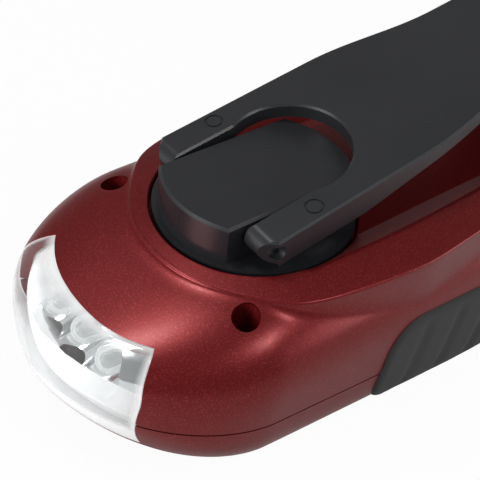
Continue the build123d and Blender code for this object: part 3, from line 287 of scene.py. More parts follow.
def grip_rubber(colour):
    """Soft rubber: matt with a fine pebbled skin."""
    finish = Finish("grip_rubber")
    place = finish.place()
    pebbles = finish.cells(place, 1700.0)
    dust = finish.noise(place, 200.0, 4.0)
    lighter = tuple(c * 1.6 for c in colour)
    base = finish.mix(dust, opaque(colour), opaque(lighter))
    return finish.surface(Base_Color=base, Roughness=dust * 0.12 + 0.46,
                          Normal=finish.bump(pebbles, 0.25, 0.0001))


def plated(name, colour, rough, grain, strength):
    """Metal finish: bright base with fine brushing or plating marks."""
    finish = Finish(name)
    place = finish.place()
    marks = finish.noise(place, grain, 3.0, 0.6)
    darker = tuple(c * 0.86 for c in colour)
    base = finish.mix(marks, opaque(darker), opaque(colour))
    return finish.surface(Base_Color=base, Metallic=1.0, Roughness=marks * 0.10 + rough,
                          Normal=finish.bump(marks, strength, 0.00005))


def moulded(name, colour):
    """Plain moulded or printed part: slight colour change and a fine surface."""
    finish = Finish(name)
    place = finish.place()
    cloud = finish.noise(place, 70.0, 4.0)
    fine = finish.noise(place, 900.0, 3.0, 0.6)
    lighter = tuple(min(c * 1.2 + 0.004, 1.0) for c in colour)
    base = finish.mix(cloud, opaque(colour), opaque(lighter))
    return finish.surface(Base_Color=base, Roughness=cloud * 0.12 + 0.39,
                          Normal=finish.bump(fine, 0.10, 0.00006))


def circuit_board(name):
    """Green board with lighter tracks."""
    finish = Finish(name)
    place = finish.place()
    tracks = finish.cells(place, 420.0).above(0.34, 0.06)
    base = finish.mix(tracks, (0.010, 0.070, 0.024, 1), (0.035, 0.150, 0.060, 1))
    return finish.surface(Base_Color=base, Roughness=finish.noise(place, 500.0) * 0.12 + 0.30,
                          Normal=finish.bump(tracks, 0.3, 0.00005))


def winding(name):
    """Enamelled wire, wound in fine turns along the coil's axis, its colour darker in the grooves between turns and
    lighter on their crests: painted shade and painted highlight.
    """
    finish = Finish(name)
    place = finish.place()
    turns = finish.add("ShaderNodeTexWave", {"bands_direction": "Z"},
                       {"Vector": place, "Scale": 1100.0, "Distortion": 1.5})
    height = Wire(finish, turns.outputs["Fac"])
    # Colour follows the turns' height: painted shade in the grooves between turns, painted highlight on their
    # crests.
    base = finish.mix(height, (0.28, 0.07, 0.02, 1), (0.72, 0.25, 0.08, 1))
    return finish.surface(Base_Color=base, Metallic=0.8, Roughness=height * 0.15 + 0.25,
                          Normal=finish.bump(height, 0.6, 0.0001))


def clear_cover(name, tint, haze, rim):
    """Clear moulding: mostly see-through, glossy by Fresnel, and pale where the piece's rim attribute rises, partly
    by its whitish tint and partly by a painted glow: the part that is not see-through emits faint white light.
    """
    finish = Finish(name)
    place = finish.place()
    edge = Wire(finish, finish.add("ShaderNodeAttribute", {"attribute_name": "rim"}).outputs["Fac"])
    mirror = Wire(finish, finish.add("ShaderNodeFresnel", None, {"IOR": 1.5}).outputs[0])
    swirl = finish.noise(place, 90.0, 3.0)
    factor = (edge * rim + mirror * 0.85 + swirl * haze).clamped()
    clear = finish.add("ShaderNodeBsdfTransparent", None, {"Color": (0.97, 0.98, 0.98, 1)})
    # Painted glow: this shader emits white at strength 0.12, on the lens and on the lamp domes alike, though neither
    # is a lit lamp.
    body = finish.add("ShaderNodeBsdfPrincipled", None, {
        "Base Color": opaque(tint), "Roughness": swirl * 0.05 + 0.03, "Specular IOR Level": 0.8,
        "Emission Color": (1, 1, 1, 1), "Emission Strength": 0.12})
    finish.show(finish.add("ShaderNodeMixShader", None, {0: factor, 1: clear.outputs[0], 2: body.outputs[0]}))
    return finish.material


# ---------------------------------------------------------------- forms of the housing


def fade(run, start, x, power, root):
    """1 at the start of a run, falling to 0 at its far end: (1 - share^power)^(1/root)."""
    share = np.clip((start - x) / run, 0.0, 1.0)
    return np.maximum(1.0 - share**power, 0.0) ** (1.0 / root)


def half_width_at(x, half):
    """Half width of the housing along X: the widest half times the nose's and the tail's fades."""
    nose = fade(NOSE_RUN, NOSE_X + NOSE_RUN, x, *NOSE_FADE)
    tail = fade(TAIL_RUN, -TAIL_X + TAIL_RUN, -x, *TAIL_FADE)
    return half * nose * tail


def top_at(x):
    """Top line: the soft minimum of the nose ramp, the sloping roof and the crest, faded at the tail."""
    ramp = NOSE_HEIGHT + NOSE_SLOPE * (x - NOSE_X)
    roof = ROOF_HEIGHT + ROOF_SLOPE * (x - HUB_X)
    crest = ROOF_HEIGHT + ROOF_SLOPE * CREST_RUN
    line = -TOP_BLEND * np.log(sum(np.exp(-height / TOP_BLEND) for height in (ramp, roof, crest)))
    tail = fade(TAIL_TOP_RUN, -TAIL_X + TAIL_TOP_RUN, -x, *TAIL_TOP_FADE)
    return TAIL_HEIGHT + (line - TAIL_HEIGHT) * tail


def keel_at(x):
    """Bottom line: flat, lifting to the nose tip and the tail tip by their fades."""
    nose = fade(KEEL_RUN, NOSE_X + KEEL_RUN, x, *KEEL_FADE)
    tail = fade(KEEL_RUN, -TAIL_X + KEEL_RUN, -x, *KEEL_FADE)
    return np.maximum(NOSE_HEIGHT - (KEEL_DROP + NOSE_HEIGHT) * nose, TAIL_HEIGHT - (KEEL_DROP + TAIL_HEIGHT) * tail)


def middle_at(x):
    """Height of the widest line, lifting to the two tips as the cube of the way there."""
    ahead = np.clip((NOSE_X + NOSE_RUN - x) / NOSE_RUN, 0, 1) ** LIFT_POWER
    behind = np.clip((x - TAIL_X + TAIL_RUN) / TAIL_RUN, 0, 1) ** LIFT_POWER
    return WIDEST_HEIGHT + (NOSE_HEIGHT - WIDEST_HEIGHT) * ahead + (TAIL_HEIGHT - WIDEST_HEIGHT) * behind


def outside(points, half, inset=0.0):
    """Above 0 outside the housing: |y/W|^n + |(z-m)/H|^n - 1, where W, H and n follow x. An inset draws the section
    in, and stretches x ahead of the middle so that the nose tip draws in as well."""
    x, y, z = points[..., 0], points[..., 1], points[..., 2]
    if inset:
        span = INSET_FROM - NOSE_X
        x = np.where(x < 0, (x - INSET_FROM) * (span / (span - inset)) + INSET_FROM, x)
    ahead = np.clip((NOSE_X + NOSE_RUN - x) / NOSE_RUN, 0, 1)
    width = np.maximum(half_width_at(x, half) - inset, LEAST)
    middle = middle_at(x)
    up = np.maximum(top_at(x) - inset - middle, LEAST)
    down = np.maximum(middle - keel_at(x) - inset, LEAST)
    rises = z >= middle
    power = np.where(rises, SQUARE_ABOVE, SQUARE_BELOW - NOSE_SOFTENING * ahead)
    reach = np.where(rises, up, down)
    value = np.abs(y / width) ** power + np.abs((z - middle) / reach) ** power - 1.0
    return np.where((x < NOSE_X) | (x > TAIL_X), FAR, np.minimum(value, FAR))


def furthest(holds, shape, reach):
    """Greatest distance along each ray at which a test still holds, by halving the span again and again."""
    low, high = np.zeros(shape), np.full(shape, reach)
    for _ in range(HALVINGS):
        mid = (low + high) / 2
        kept = holds(mid)
        low = np.where(kept, mid, low)
        high = np.where(kept, high, mid)
    return low


def cast(start, towards, half, inset=0.0, reach=90.0):
    """Where rays from inside the housing cross its surface."""
    way = towards - start
    way = way / np.maximum(np.linalg.norm(way, axis=-1, keepdims=True), 1e-9)
    far = furthest(lambda mid: outside(start + way * mid, half, inset)[..., None] <= 0, way.shape[:-1] + (1,), reach)
    return start + way * far


def tilt_matrix(angle):
    """Turn about Y that raises +X by an angle."""
    c, s = math.cos(math.radians(angle)), math.sin(math.radians(angle))
    return np.array([[c, 0, -s], [0, 1, 0], [s, 0, c]])


HUB_TURN = tilt_matrix(HUB_TILT)
HUB_PLACE = np.array([HUB_X, 0.0, HUB_HEIGHT])


def hub_to_row(points):
    """Row place of a hub-frame place: the hub's centre plus the place turned by the hub's lean."""
    return points @ HUB_TURN.T + HUB_PLACE


def closed_spline(points, count):
    """Smooth closed curve through points at even parameters: a periodic cubic with matching slopes."""
    n = len(points)
    system = 4 * np.eye(n) + np.roll(np.eye(n), 1, axis=1) + np.roll(np.eye(n), -1, axis=1)
    slopes = np.linalg.solve(system, 3 * (np.roll(points, -1, axis=0) - np.roll(points, 1, axis=0)))
    where = np.arange(count) * n / count
    i = np.floor(where).astype(int)
    t = (where - i)[:, None]
    a, b = points[i % n], points[(i + 1) % n]
    u, v = slopes[i % n], slopes[(i + 1) % n]
    return ((2 * t**3 - 3 * t**2 + 1) * a + (t**3 - 2 * t**2 + t) * u
            + (3 * t**2 - 2 * t**3) * b + (t**3 - t**2) * v)


# Deck and channel in the hub frame, in millimetres
CREST_RADIUS = 26.3
CREST_CENTRE = 4.9
DECK_END = 79.0
DECK_SIDE = 27.4
DECK_WAIST = 23.0
BAND_WIDTH = 7.4
CREST_DEPTH = 8.1
LIP_DEPTH = 6.4
BORE_RADIUS = 18.5
CHANNEL_HALF = 15.4
CHANNEL_DEPTH = 8.6
CHANNEL_END = 52.0
CHANNEL_START = 2.0
CHANNEL_START_SLOPE = 1.4
CHANNEL_SLOPE = 0.5
CHANNEL_SOFT = 0.12
WELL_DEPTH = 9.35
SHAFT_EYE = 7.0
BORE_BEVEL = 0.35


def deck_outline(inset, depth, count):
    """The deck's edge in the hub frame: an arc round the hub, long sides and a rounded rear end."""
    radius = CREST_RADIUS - inset
    turns = np.radians([0, 24, 48, 70])
    front = np.stack([CREST_CENTRE - radius * np.cos(turns), radius * np.sin(turns)], axis=1)
    rest = np.array([
        (DECK_SIDE * 0.47, DECK_SIDE - inset),
        (DECK_SIDE * 0.8, DECK_SIDE - inset * 0.98),
        (DECK_END * 0.42, DECK_SIDE * 0.965 - inset * 1.02),
        (DECK_END * 0.58, DECK_SIDE * 0.91 - inset * 1.05),
        (DECK_END * 0.75, DECK_WAIST - inset * 1.02),
        (DECK_END * 0.89 - inset * 0.4, (DECK_WAIST - inset) * 0.72),
        (DECK_END * 0.98 - inset, (DECK_WAIST - inset) * 0.34),
        (DECK_END - inset, 0)])
    half = np.concatenate([front, rest])
    loop = np.concatenate([half, half[1:-1][::-1] * [1, -1]])
    flat = closed_spline(loop, count)
    return np.concatenate([flat, np.full((count, 1), -depth)], axis=1)


def stop_at_bore(crest, inner, rim):
    """Inner points moved back along their line from the crest to where that line meets the bore's rim: the first
    root of |c + t (i - c)|^2 = r^2, or the inner point itself where the line stays clear."""
    flat, run = crest[:, :2], (inner - crest)[:, :2]
    a = (run**2).sum(axis=1)
    b = 2 * (flat * run).sum(axis=1)
    c = (flat**2).sum(axis=1) - rim**2
    root = (-b - np.sqrt(np.maximum(b**2 - 4 * a * c, 0))) / (2 * a)
    meets = (b**2 > 4 * a * c) & (root > 0) & (root < 1)
    share = np.where(meets, root, 1.0)[:, None]
    return crest + (inner - crest) * share


def soft_min(a, b, soft):
    """Smooth lower of two heights: -s log(exp(-a/s) + exp(-b/s))."""
    low = np.minimum(a, b)
    return low - soft * np.log(np.exp(-(a - low) / soft) + np.exp(-(b - low) / soft))


def with_channel(points):
    """Deck points lowered into the channel behind the hub: floor plus half the distance from its edge."""
    x, y = points[:, 0], np.abs(points[:, 1])
    beside = np.maximum(y - CHANNEL_HALF, 0)
    behind = np.hypot(np.maximum(x - CHANNEL_END, 0), y) - CHANNEL_HALF
    away = np.where(x > CHANNEL_END, np.maximum(behind, 0), beside)
    away = np.hypot(away, np.maximum(-CHANNEL_START - x, 0) * CHANNEL_START_SLOPE)
    bevel = -CHANNEL_DEPTH + CHANNEL_SLOPE * away
    out = points.copy()
    out[:, 2] = soft_min(points[:, 2], bevel, CHANNEL_SOFT)
    return out


# Holes, lug, lens, reflector and grips in the row frame, in millimetres
SCREW_HOLE = 2.35
SCREW_EYE = 0.6
WELL_WALL = 0.4
WELL_FLOOR = 0.8
FRONT_SCREW = np.array([-41.4, 19.6, 21.0])
REAR_SCREW = np.array([48.0, 15.0, 6.1])
BUTTON_HOLE = 4.9
BUTTON_EYE = 4.7
BUTTON_PLACE = np.array([58.27, 0.0, 27.5])
LUG_START = 50.0
LUG_END = 67.5
LUG_HALF = 5.5
LUG_CORNER = 5.0
LUG_LOW = 9.0
LUG_HIGH = 13.6
LUG_HOLE_X = 63.5
LUG_HOLE = 2.0
LUG_EDGE = 0.35
LENS_LOW = 8.6
LENS_TOP = 25.0
LENS_CORNER = np.array([15.4, 26.1])
LENS_SHOULDER = np.array([18.2, 23.2])
LENS_WIDEST = np.array([19.4, 17.6])
LENS_FOOT = 18.9
LENS_SHOULDER_DROP = 0.7
LENS_TOP_BEARING = 27.0
LENS_BEARING = 50.0
LENS_FOOT_BEARING = 26.0
LENS_SEAM_BEARING = 36.1
RIM_WIDTH = 1.2
RIM_POWER = 1.2
LOW_RIM_TOP = 14.0
LOW_RIM_FADE = 1.6
LOW_RIM = 0.8
LAMP_HEIGHT = 17.8
LAMP_PITCH = 7.8
LAMP_HOLE = 2.65
BOWL_BACK = -51.6
BOWL_FRONT = -62.5
BOWL_FOOT = 0.8
BOWL_RISE = 7.2
BOWL_RUN = 3.75
BOWL_POWER = 1.6
REFLECTOR_LOW = 12.4
REFLECTOR_INSET = 0.75
REFLECTOR_GAP = 0.35
REFLECTOR_BACK = 0.6
GRIP_FRONT = -13.0
GRIP_BACK = 43.4
GRIP_CLIMB_FROM = -13.1
GRIP_LOW = 4.7
GRIP_LOW_CLIMB = 0.3
GRIP_HIGH = 25.5
GRIP_HIGH_CLIMB = 0.4
GRIP_CORNER = 7.0
GRIP_MIDDLE = np.array([15.2, 17.0])
GRIP_EDGE = 1.3
GRIP_SINK = 0.5
GRIP_UNDER = 0.8
GROOVE_PITCH = 9.4
GROOVE_SHIFT = 4.2
GROOVE_DEPTH = 0.495
GROOVE_CLEAR = 1.0
GROOVE_FADE = 3.0

# Places inside the housing that rays are cast from
BEARING_FROM = -25.0
NOSE_CAST_FROM = -38.0
BASE_CAST_FROM = -3.0
BASE_STRETCH = 2.1
SPINE_FRONT = -42.0
SPINE_REAR = 38.0
SPINE_HEIGHT = 15.5


def circle_through(a, b, c):
    """Centre and radius of the circle through three flat points, from the two perpendicular bisectors."""
    rows = 2 * np.array([b - a, c - a])
    centre = np.linalg.solve(rows, [b @ b - a @ a, c @ c - a @ a])
    return centre, float(np.linalg.norm(a - centre))


def lens_side_at(z):
    """Half width of the lens at a height: straight up to its widest line, then an arc to the upper corner."""
    centre, radius = circle_through(LENS_CORNER, LENS_SHOULDER, LENS_WIDEST)
    above = centre[0] + np.sqrt(np.maximum(radius**2 - (z - centre[1]) ** 2, 0))
    below = LENS_FOOT + (LENS_WIDEST[0] - LENS_FOOT) * np.clip((z - LENS_LOW) / (LENS_WIDEST[1] - LENS_LOW), 0, 1)
    return np.where(z > LENS_WIDEST[1], above, below)


def lens_top_at(y):
    """Height of the lens's arched top edge across the nose, rising with the square of the distance out."""
    return LENS_TOP + (LENS_CORNER[1] - LENS_TOP) * (y / LENS_CORNER[0]) ** 2


def lens_patch(columns, rows, low, inset):
    """Front view places that fill the lens's outline. A column is a share of the half width at its row's height,
    and a row is a share of the way up, bent towards the arched top edge the higher it lies."""
    u, v = columns[None, :], rows[:, None]
    top = LENS_CORNER[1] - inset
    height = low + (top - low) * v
    side = lens_side_at(height + inset * LENS_SHOULDER_DROP) - inset
    z = height + v * (lens_top_at(u * (LENS_CORNER[0] - inset)) - inset - top)
    return u * side, z


def nose_surface(y, z, half, inset=0.0):
    """Nose surface behind a front view place: a ray forward from inside at the same y and z."""
    start = np.stack([np.full_like(y, NOSE_CAST_FROM), y, z], axis=-1)
    return cast(start, start + np.array([-1.0, 0, 0]), half, inset)


def sheet_to_mesh(name, front, back, slot, sharp, rim=None):
    """Closed sheet between two grids of places of equal shape, with a wall round its four edges."""
    rows, cols = front.shape[:2]
    index = np.arange(rows * cols).reshape(rows, cols)
    a, b, c, d = index[:-1, :-1], index[:-1, 1:], index[1:, 1:], index[1:, :-1]
    near = np.stack([a, d, c, b], axis=-1).reshape(-1, 4)
    far = np.stack([a, b, c, d], axis=-1).reshape(-1, 4) + rows * cols
    loop = np.concatenate([index[0, :], index[1:, -1], index[-1, -2::-1], index[-2:0:-1, 0]])
    after = np.roll(loop, -1)
    side = np.stack([loop, after, after + rows * cols, loop + rows * cols], axis=-1)
    verts = np.concatenate([front.reshape(-1, 3), back.reshape(-1, 3)])
    faces = np.concatenate([near, far, side]).tolist()
    return make_piece(name, verts, faces, "housing", slot, sharp, rim)


def rings_to_mesh(name, rings, body, slot, sharp=40.0, capped=False, joined=False):
    """Closed rings of equal count, joined by quads. A cap is a fan from the last ring to its centre, and joined
    rings run on from the last to the first."""
    rings = np.asarray(rings, dtype=float)
    rows, count, _ = rings.shape
    verts = rings.reshape(-1, 3)
    i = np.arange(rows if joined else rows - 1)[:, None] * count
    after = (i + count) % (rows * count)
    j = np.arange(count)[None, :]
    k = (j + 1) % count
    faces = np.stack([i + j, i + k, after + k, after + j], axis=-1).reshape(-1, 4).tolist()
    if capped:
        near = (rows - 1) * count + np.arange(count)
        after = (rows - 1) * count + (np.arange(count) + 1) % count
        faces += np.stack([near, after, np.full(count, len(verts))], axis=-1).tolist()
        verts = np.concatenate([verts, rings[-1].mean(axis=0)[None]])
    return make_piece(name, verts, faces, body, slot, sharp)


FINISH_OF = {
    "metallic_red": "red_lacquer", "clear_lens": "lens_clear", "chrome_reflector": "reflector_chrome",
    "grip_rubber": "grip_rubber"}


def make_piece(name, verts, faces, body, slot, sharp=40.0, rim=None):
    """Mesh object from places in millimetres, smooth but for edges past an angle, riding on a body and wearing the
    finish of its slot."""
    mesh = bpy.data.meshes.new(name)
    mesh.from_pydata((np.asarray(verts) * MM).tolist(), [], faces)
    if mesh.validate():
        raise RuntimeError("faulty faces in " + name)
    mesh.update()
    mesh.shade_smooth()
    mesh.set_sharp_from_angle(angle=math.radians(sharp))
    if rim is not None:
        layer = mesh.attributes.new("rim", "FLOAT", "POINT")
        layer.data.foreach_set("value", np.asarray(rim, dtype=np.float32).ravel())
    mesh.materials.append(bpy.data.materials[FINISH_OF[slot]])
    piece = bpy.data.objects.new(name, mesh)
    bpy.context.scene.collection.objects.link(piece)
    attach(piece, body)
    return piece


def bezier(a, b, c, steps):
    """Rings along a quadratic curve from a to c pulled towards b, without its first point."""
    t = np.linspace(0, 1, steps + 1)[1:, None, None]
    return list((1 - t) ** 2 * a + 2 * t * (1 - t) * b + t**2 * c)


def spread(a, b, steps):
    """Rings evenly between two rings, without the first."""
    t = np.linspace(0, 1, steps + 1)[1:, None, None]
    return list((1 - t) * a + t * b)


def shell_edge(bearing, half):
    """Lower boundary of the upper shell by bearing round the housing: the lens's edge, then the seam."""
    turn = np.abs(bearing)
    side = np.sign(np.where(bearing == 0, 1, bearing))
    seam = SEAM_HEIGHT + SEAM_HALF
    along = np.clip(turn / LENS_TOP_BEARING, 0, 1) * LENS_CORNER[0]
    drop = np.clip((turn - LENS_TOP_BEARING) / (LENS_BEARING - LENS_TOP_BEARING), 0, 1)
    z = np.where(drop > 0, LENS_CORNER[1] + (seam - LENS_CORNER[1]) * drop, lens_top_at(along))
    y = np.where(drop > 0, lens_side_at(z), along)
    lens = nose_surface(side * y, z, half)
    foot = lens_side_at(np.array([seam]))
    start_x = nose_surface(foot, np.array([seam]), half)[0, 0]
    start = math.degrees(math.atan2(foot[0], BEARING_FROM - start_x))
    share = (np.clip(turn, LENS_BEARING, 180) - LENS_BEARING) / (180 - LENS_BEARING)
    angle = np.radians(start + share * (180 - start))
    origin = np.stack([np.full_like(turn, BEARING_FROM), np.zeros_like(turn), np.full_like(turn, seam)], axis=-1)
    way = np.stack([-np.cos(angle), side * np.sin(angle), np.zeros_like(angle)], axis=-1)
    line = cast(origin, origin + way, half)
    return np.where((turn > LENS_BEARING)[:, None], line, lens)


def spine(points):
    """Places inside the housing from which its surface is seen along a ray: on the axis, kept off the tips."""
    out = points.copy()
    out[..., 0] = np.clip(points[..., 0], SPINE_FRONT, SPINE_REAR)
    out[..., 1] = 0.0
    out[..., 2] = SPINE_HEIGHT
    return out


class FLASHLIGHT_OT_upper_shell(bpy.types.Operator):
    """Upper shell: side walls, valley, raised deck, channel and the bore round the hub"""

    bl_idname = "flashlight.upper_shell"
    bl_label = "Upper shell"
    SKIRT_REACH = 13.0
    VALLEY_LIFT = 0.2
    FILLET_SHARE = 0.7
    FILLET_TOP = 3.0
    TUCKS = (2.2, 0.25)
    WALL_ROWS = 44
    BAND_ROWS = 14
    DECK_ROWS = 46

    def execute(self, context):
        sizes = context.scene.flashlight_sizes
        half = sizes.half_width / MM
        count = sizes.rows
        crest = deck_outline(0, CREST_DEPTH, count)
        inner = stop_at_bore(crest, deck_outline(BAND_WIDTH, LIP_DEPTH, count), BORE_RADIUS + WELL_WALL)
        inward = inner - crest
        inward /= np.linalg.norm(inward, axis=1, keepdims=True)
        radius = sizes.crest_round / MM
        down = np.array([0, 0, -1.0])
        skirt_top = hub_to_row(crest + down * radius)
        top = hub_to_row(crest)
        way = hub_to_row(crest + down) - top
        fall = furthest(lambda mid: outside(top + way * mid, half)[:, None] > 0, (count, 1), self.SKIRT_REACH)
        foot = top + way * fall
        outward = (crest - inner) * [1, 1, 0]
        outward /= np.linalg.norm(outward, axis=1, keepdims=True)
        outward = hub_to_row(outward) - HUB_PLACE
        core = spine(foot)
        reach = sizes.valley_reach / MM
        valley = cast(core, foot + outward * reach - way * self.VALLEY_LIFT, half)
        fillet_top = foot - way * np.minimum(fall * self.FILLET_SHARE, self.FILLET_TOP)
        edge = shell_edge(np.degrees(np.arctan2(foot[:, 1], BEARING_FROM - foot[:, 0])), half)
        core_edge = spine(edge)
        t = np.linspace(0, 1, self.WALL_ROWS)[:, None, None]
        walls = cast(core + (core_edge - core) * t, valley + (edge - valley) * t, half)
        walls[-1] = edge
        tuck = (core_edge - edge) / np.linalg.norm(core_edge - edge, axis=1, keepdims=True)
        rings = [edge + tuck * depth for depth in self.TUCKS] + list(walls[::-1])
        rings += bezier(valley, foot, fillet_top, 8)
        rings += spread(fillet_top, skirt_top, 4)
        rings += bezier(skirt_top, top, hub_to_row(with_channel(crest + inward * radius)), 4)
        for share in np.linspace(0.12, 1, self.BAND_ROWS):
            rings.append(hub_to_row(with_channel(crest + (inner - crest) * share)))
        angle = np.arctan2(inner[:, 1], inner[:, 0])
        circle = np.stack([np.cos(angle), np.sin(angle), np.zeros(count)], axis=1)
        bore = circle * (BORE_RADIUS + BORE_BEVEL)
        bore[:, 2] = inner[:, 2]
        for share in np.linspace(0.02, 1, self.DECK_ROWS):
            rings.append(hub_to_row(with_channel(inner + (bore - inner) * share)))
        wall = circle * BORE_RADIUS
        wall[:, 2] = with_channel(bore)[:, 2] - BORE_BEVEL
        floor = circle * BORE_RADIUS + down * WELL_DEPTH
        rings += [hub_to_row(wall)] + spread(hub_to_row(wall), hub_to_row(floor), 4)
        rings += [hub_to_row(circle * SHAFT_EYE + down * WELL_DEPTH)]
        piece = rings_to_mesh("upper_shell_skin", rings, "housing", "metallic_red", sharp=50.0)
        holes = [("screw_well_right", FRONT_SCREW * [1, -1, 1], 2, 1, SCREW_HOLE, SCREW_EYE),
                 ("screw_well_left", FRONT_SCREW, 2, 1, SCREW_HOLE, SCREW_EYE),
                 ("button_well", BUTTON_PLACE, 0, 1, BUTTON_HOLE, BUTTON_EYE)]
        for name, place, axis, side, radius, eye in holes:
            drill(piece, place, axis, side, radius)
            well(name, place, axis, side, radius, eye, half)
        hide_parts("upper_shell")
        return {"FINISHED"}


def ring_round(place, axis, side, radius, count):
    """Circle about a place, square to an axis, and the unit step outwards along that axis."""
    turn = np.arange(count) * 2 * np.pi / count
    across = [(axis + 1) % 3, (axis + 2) % 3]
    ring = np.zeros((count, 3))
    ring[:, across[0]] = np.cos(turn) * radius
    ring[:, across[1]] = np.sin(turn) * radius * side
    out = np.zeros(3)
    out[axis] = side
    return place + ring, out


def drill(piece, place, axis, side, radius):
    """Cuts a straight round hole outwards from a place through the piece."""
    count = 64
    low, out = ring_round(place, axis, side, radius, count)
    high = low + out * 30.0
    verts = np.concatenate([low, high, [place], [place + out * 30.0]])
    j = np.arange(count)
    k = (j + 1) % count
    faces = np.stack([j, k, count + k, count + j], axis=-1).tolist()
    faces += np.stack([k, j, np.full(count, 2 * count)], axis=-1).tolist()
    faces += np.stack([count + j, count + k, np.full(count, 2 * count + 1)], axis=-1).tolist()
    mesh = bpy.data.meshes.new("drill")
    mesh.from_pydata((verts * MM).tolist(), [], faces)
    tool = bpy.data.objects.new("drill", mesh)
    bpy.context.scene.collection.objects.link(tool)
    cut = piece.modifiers.new("hole", "BOOLEAN")
    cut.operation = "DIFFERENCE"
    cut.solver = "EXACT"
    cut.object = tool
    graph = bpy.context.evaluated_depsgraph_get()
    new = bpy.data.meshes.new_from_object(piece.evaluated_get(graph))
    piece.modifiers.clear()
    old = piece.data
    piece.data = new
    bpy.data.meshes.remove(old)
    bpy.data.objects.remove(tool)
    bpy.data.meshes.remove(mesh)
    piece.data.set_sharp_from_angle(angle=math.radians(50))


def well(name, place, axis, side, radius, eye, half):
    """Cup under a hole: its rim follows the shell just under the surface, and its floor has an eye."""
    rings = []
    for reach, under in ((radius + WELL_WALL, 0.3), (radius, 0.12)):
        ring, out = ring_round(place, axis, side, reach, 64)
        rings.append(cast(ring, ring + out, half) - out * under)
    for reach, deep in ((radius, 0.0), (eye, 0.0), (eye, WELL_FLOOR), (radius + WELL_WALL, WELL_FLOOR)):
        ring, out = ring_round(place, axis, side, reach, 64)
        rings.append(ring - out * deep)
    rings_to_mesh(name, rings, "housing", "metallic_red", sharp=30.0, joined=True)


class FLASHLIGHT_OT_lower_shell(bpy.types.Operator):
    """Lower shell: from the seam down to the flat base, with the lug at the tail"""

    bl_idname = "flashlight.lower_shell"
    bl_label = "Lower shell"
    GROUND = 0.02
    WALL_ROWS = 30
    TUCK = (0.03, 0.07, 0.0)
    TUCK_DROP = 0.1

    def execute(self, context):
        sizes = context.scene.flashlight_sizes
        half = sizes.half_width / MM
        count = sizes.rows
        angle = -np.pi + np.arange(count) * 2 * np.pi / count
        way = np.stack([np.cos(angle) * BASE_STRETCH, np.sin(angle), np.zeros(count)], axis=1)
        seam = SEAM_HEIGHT - SEAM_HALF
        origin = np.tile([BASE_CAST_FROM, 0.0, seam], (count, 1))
        edge = cast(origin, origin + way, half)
        bearing = 180 - np.abs(np.degrees(angle))
        climb = np.clip((bearing - LENS_FOOT_BEARING) / (LENS_SEAM_BEARING - LENS_FOOT_BEARING), 0, 1)
        z = LENS_LOW + (seam - LENS_LOW) * climb
        y = np.where(climb > 0, lens_side_at(z), LENS_FOOT * np.clip(bearing / LENS_FOOT_BEARING, 0, 1))
        lens = nose_surface(np.where(angle < 0, -1.0, 1.0) * y, z, half)
        edge = np.where((bearing < LENS_SEAM_BEARING)[:, None], lens, edge)
        ground = np.tile([BASE_CAST_FROM, 0.0, self.GROUND], (count, 1))
        base = cast(ground, ground + way, half)
        core = spine(edge)
        t = np.linspace(0, 1, self.WALL_ROWS)[:, None, None]
        walls = cast(core + (spine(base) - core) * t, edge + (base - edge) * t, half)
        tuck = edge * self.TUCK
        rings = np.array([edge - tuck + [0, 0, -self.TUCK_DROP], edge - tuck * 0.12] + list(walls))
        rings[..., 2] = np.maximum(rings[..., 2], 0.0)
        piece = rings_to_mesh("lower_shell_skin", rings[:, ::-1], "housing", "metallic_red",
                              sharp=60.0, capped=True)
        for name, mirror in (("rear_well_right", [1, -1, 1]), ("rear_well_left", [1, 1, 1])):
            drill(piece, REAR_SCREW * mirror, 2, -1, SCREW_HOLE)
            well(name, REAR_SCREW * mirror, 2, -1, SCREW_HOLE, SCREW_EYE, half)
        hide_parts("lower_shell")
        self.lug()
        return {"FINISHED"}

    def lug(self):
        """Loop for a wrist cord: a rounded tab round an upright hole, its edges rounded by a quarter turn."""
        count = 96
        turn = np.arange(count) * 2 * np.pi / count
        ray = np.stack([np.cos(turn), np.sin(turn)], axis=1)
        hole = np.array([LUG_HOLE_X, 0.0])
        middle = [(LUG_START + LUG_END) / 2, 0.0]
        straight = [(LUG_END - LUG_START) / 2 - LUG_CORNER, LUG_HALF - LUG_CORNER]

        def within(mid, inset):
            away = np.abs(hole + ray * mid - middle) - straight
            away = np.hypot(*np.maximum(away, 0).T) + np.minimum(away.max(axis=1), 0)
            return (away < LUG_CORNER - inset)[:, None]

        bend = np.radians(np.linspace(0, 90, 5))
        inset, climb = LUG_EDGE * (1 - np.cos(bend)), LUG_EDGE * (1 - np.sin(bend))
        outline = list(zip(inset[::-1], LUG_LOW + climb[::-1])) + list(zip(inset, LUG_HIGH - climb))
        rings = []
        for inset, height in outline:
            far = furthest(lambda mid: within(mid, inset), (count, 1), LUG_END - LUG_START)
            rings.append(np.concatenate([hole + ray * far, np.full((count, 1), height)], axis=1))
        for inset, height in outline[::-1]:
            rings.append(np.concatenate([hole + ray * (LUG_HOLE + inset), np.full((count, 1), height)], axis=1))
        rings_to_mesh("cord_lug", rings, "housing", "metallic_red", sharp=60.0, joined=True)


class FLASHLIGHT_OT_lens(bpy.types.Operator):
    """Clear lens that wraps round the nose, with its rounded rim"""

    bl_idname = "flashlight.lens"
    bl_label = "Lens"

    def execute(self, context):
        sizes = context.scene.flashlight_sizes
        half = sizes.half_width / MM
        gap = sizes.lens_gap / MM
        columns = np.sin(np.linspace(-1, 1, 141) * np.pi / 2)
        y, z = lens_patch(columns, np.linspace(0, 1, 81), LENS_LOW + gap, gap)
        outer = nose_surface(y, z, half)
        inner = nose_surface(y, z, half, sizes.lens_wall / MM)
        across = np.minimum(lens_side_at(z) - np.abs(y), lens_top_at(y) - z)
        rim = np.clip(1 - across / RIM_WIDTH, 0, 1) ** RIM_POWER
        rim = np.maximum(rim, np.clip((LOW_RIM_TOP - z) / LOW_RIM_FADE, 0, 1) * LOW_RIM)
        piece = sheet_to_mesh("lens_cover", outer, inner, "clear_lens", 50.0, np.stack([rim, rim]))
        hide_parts("lens")
        return {"FINISHED"}


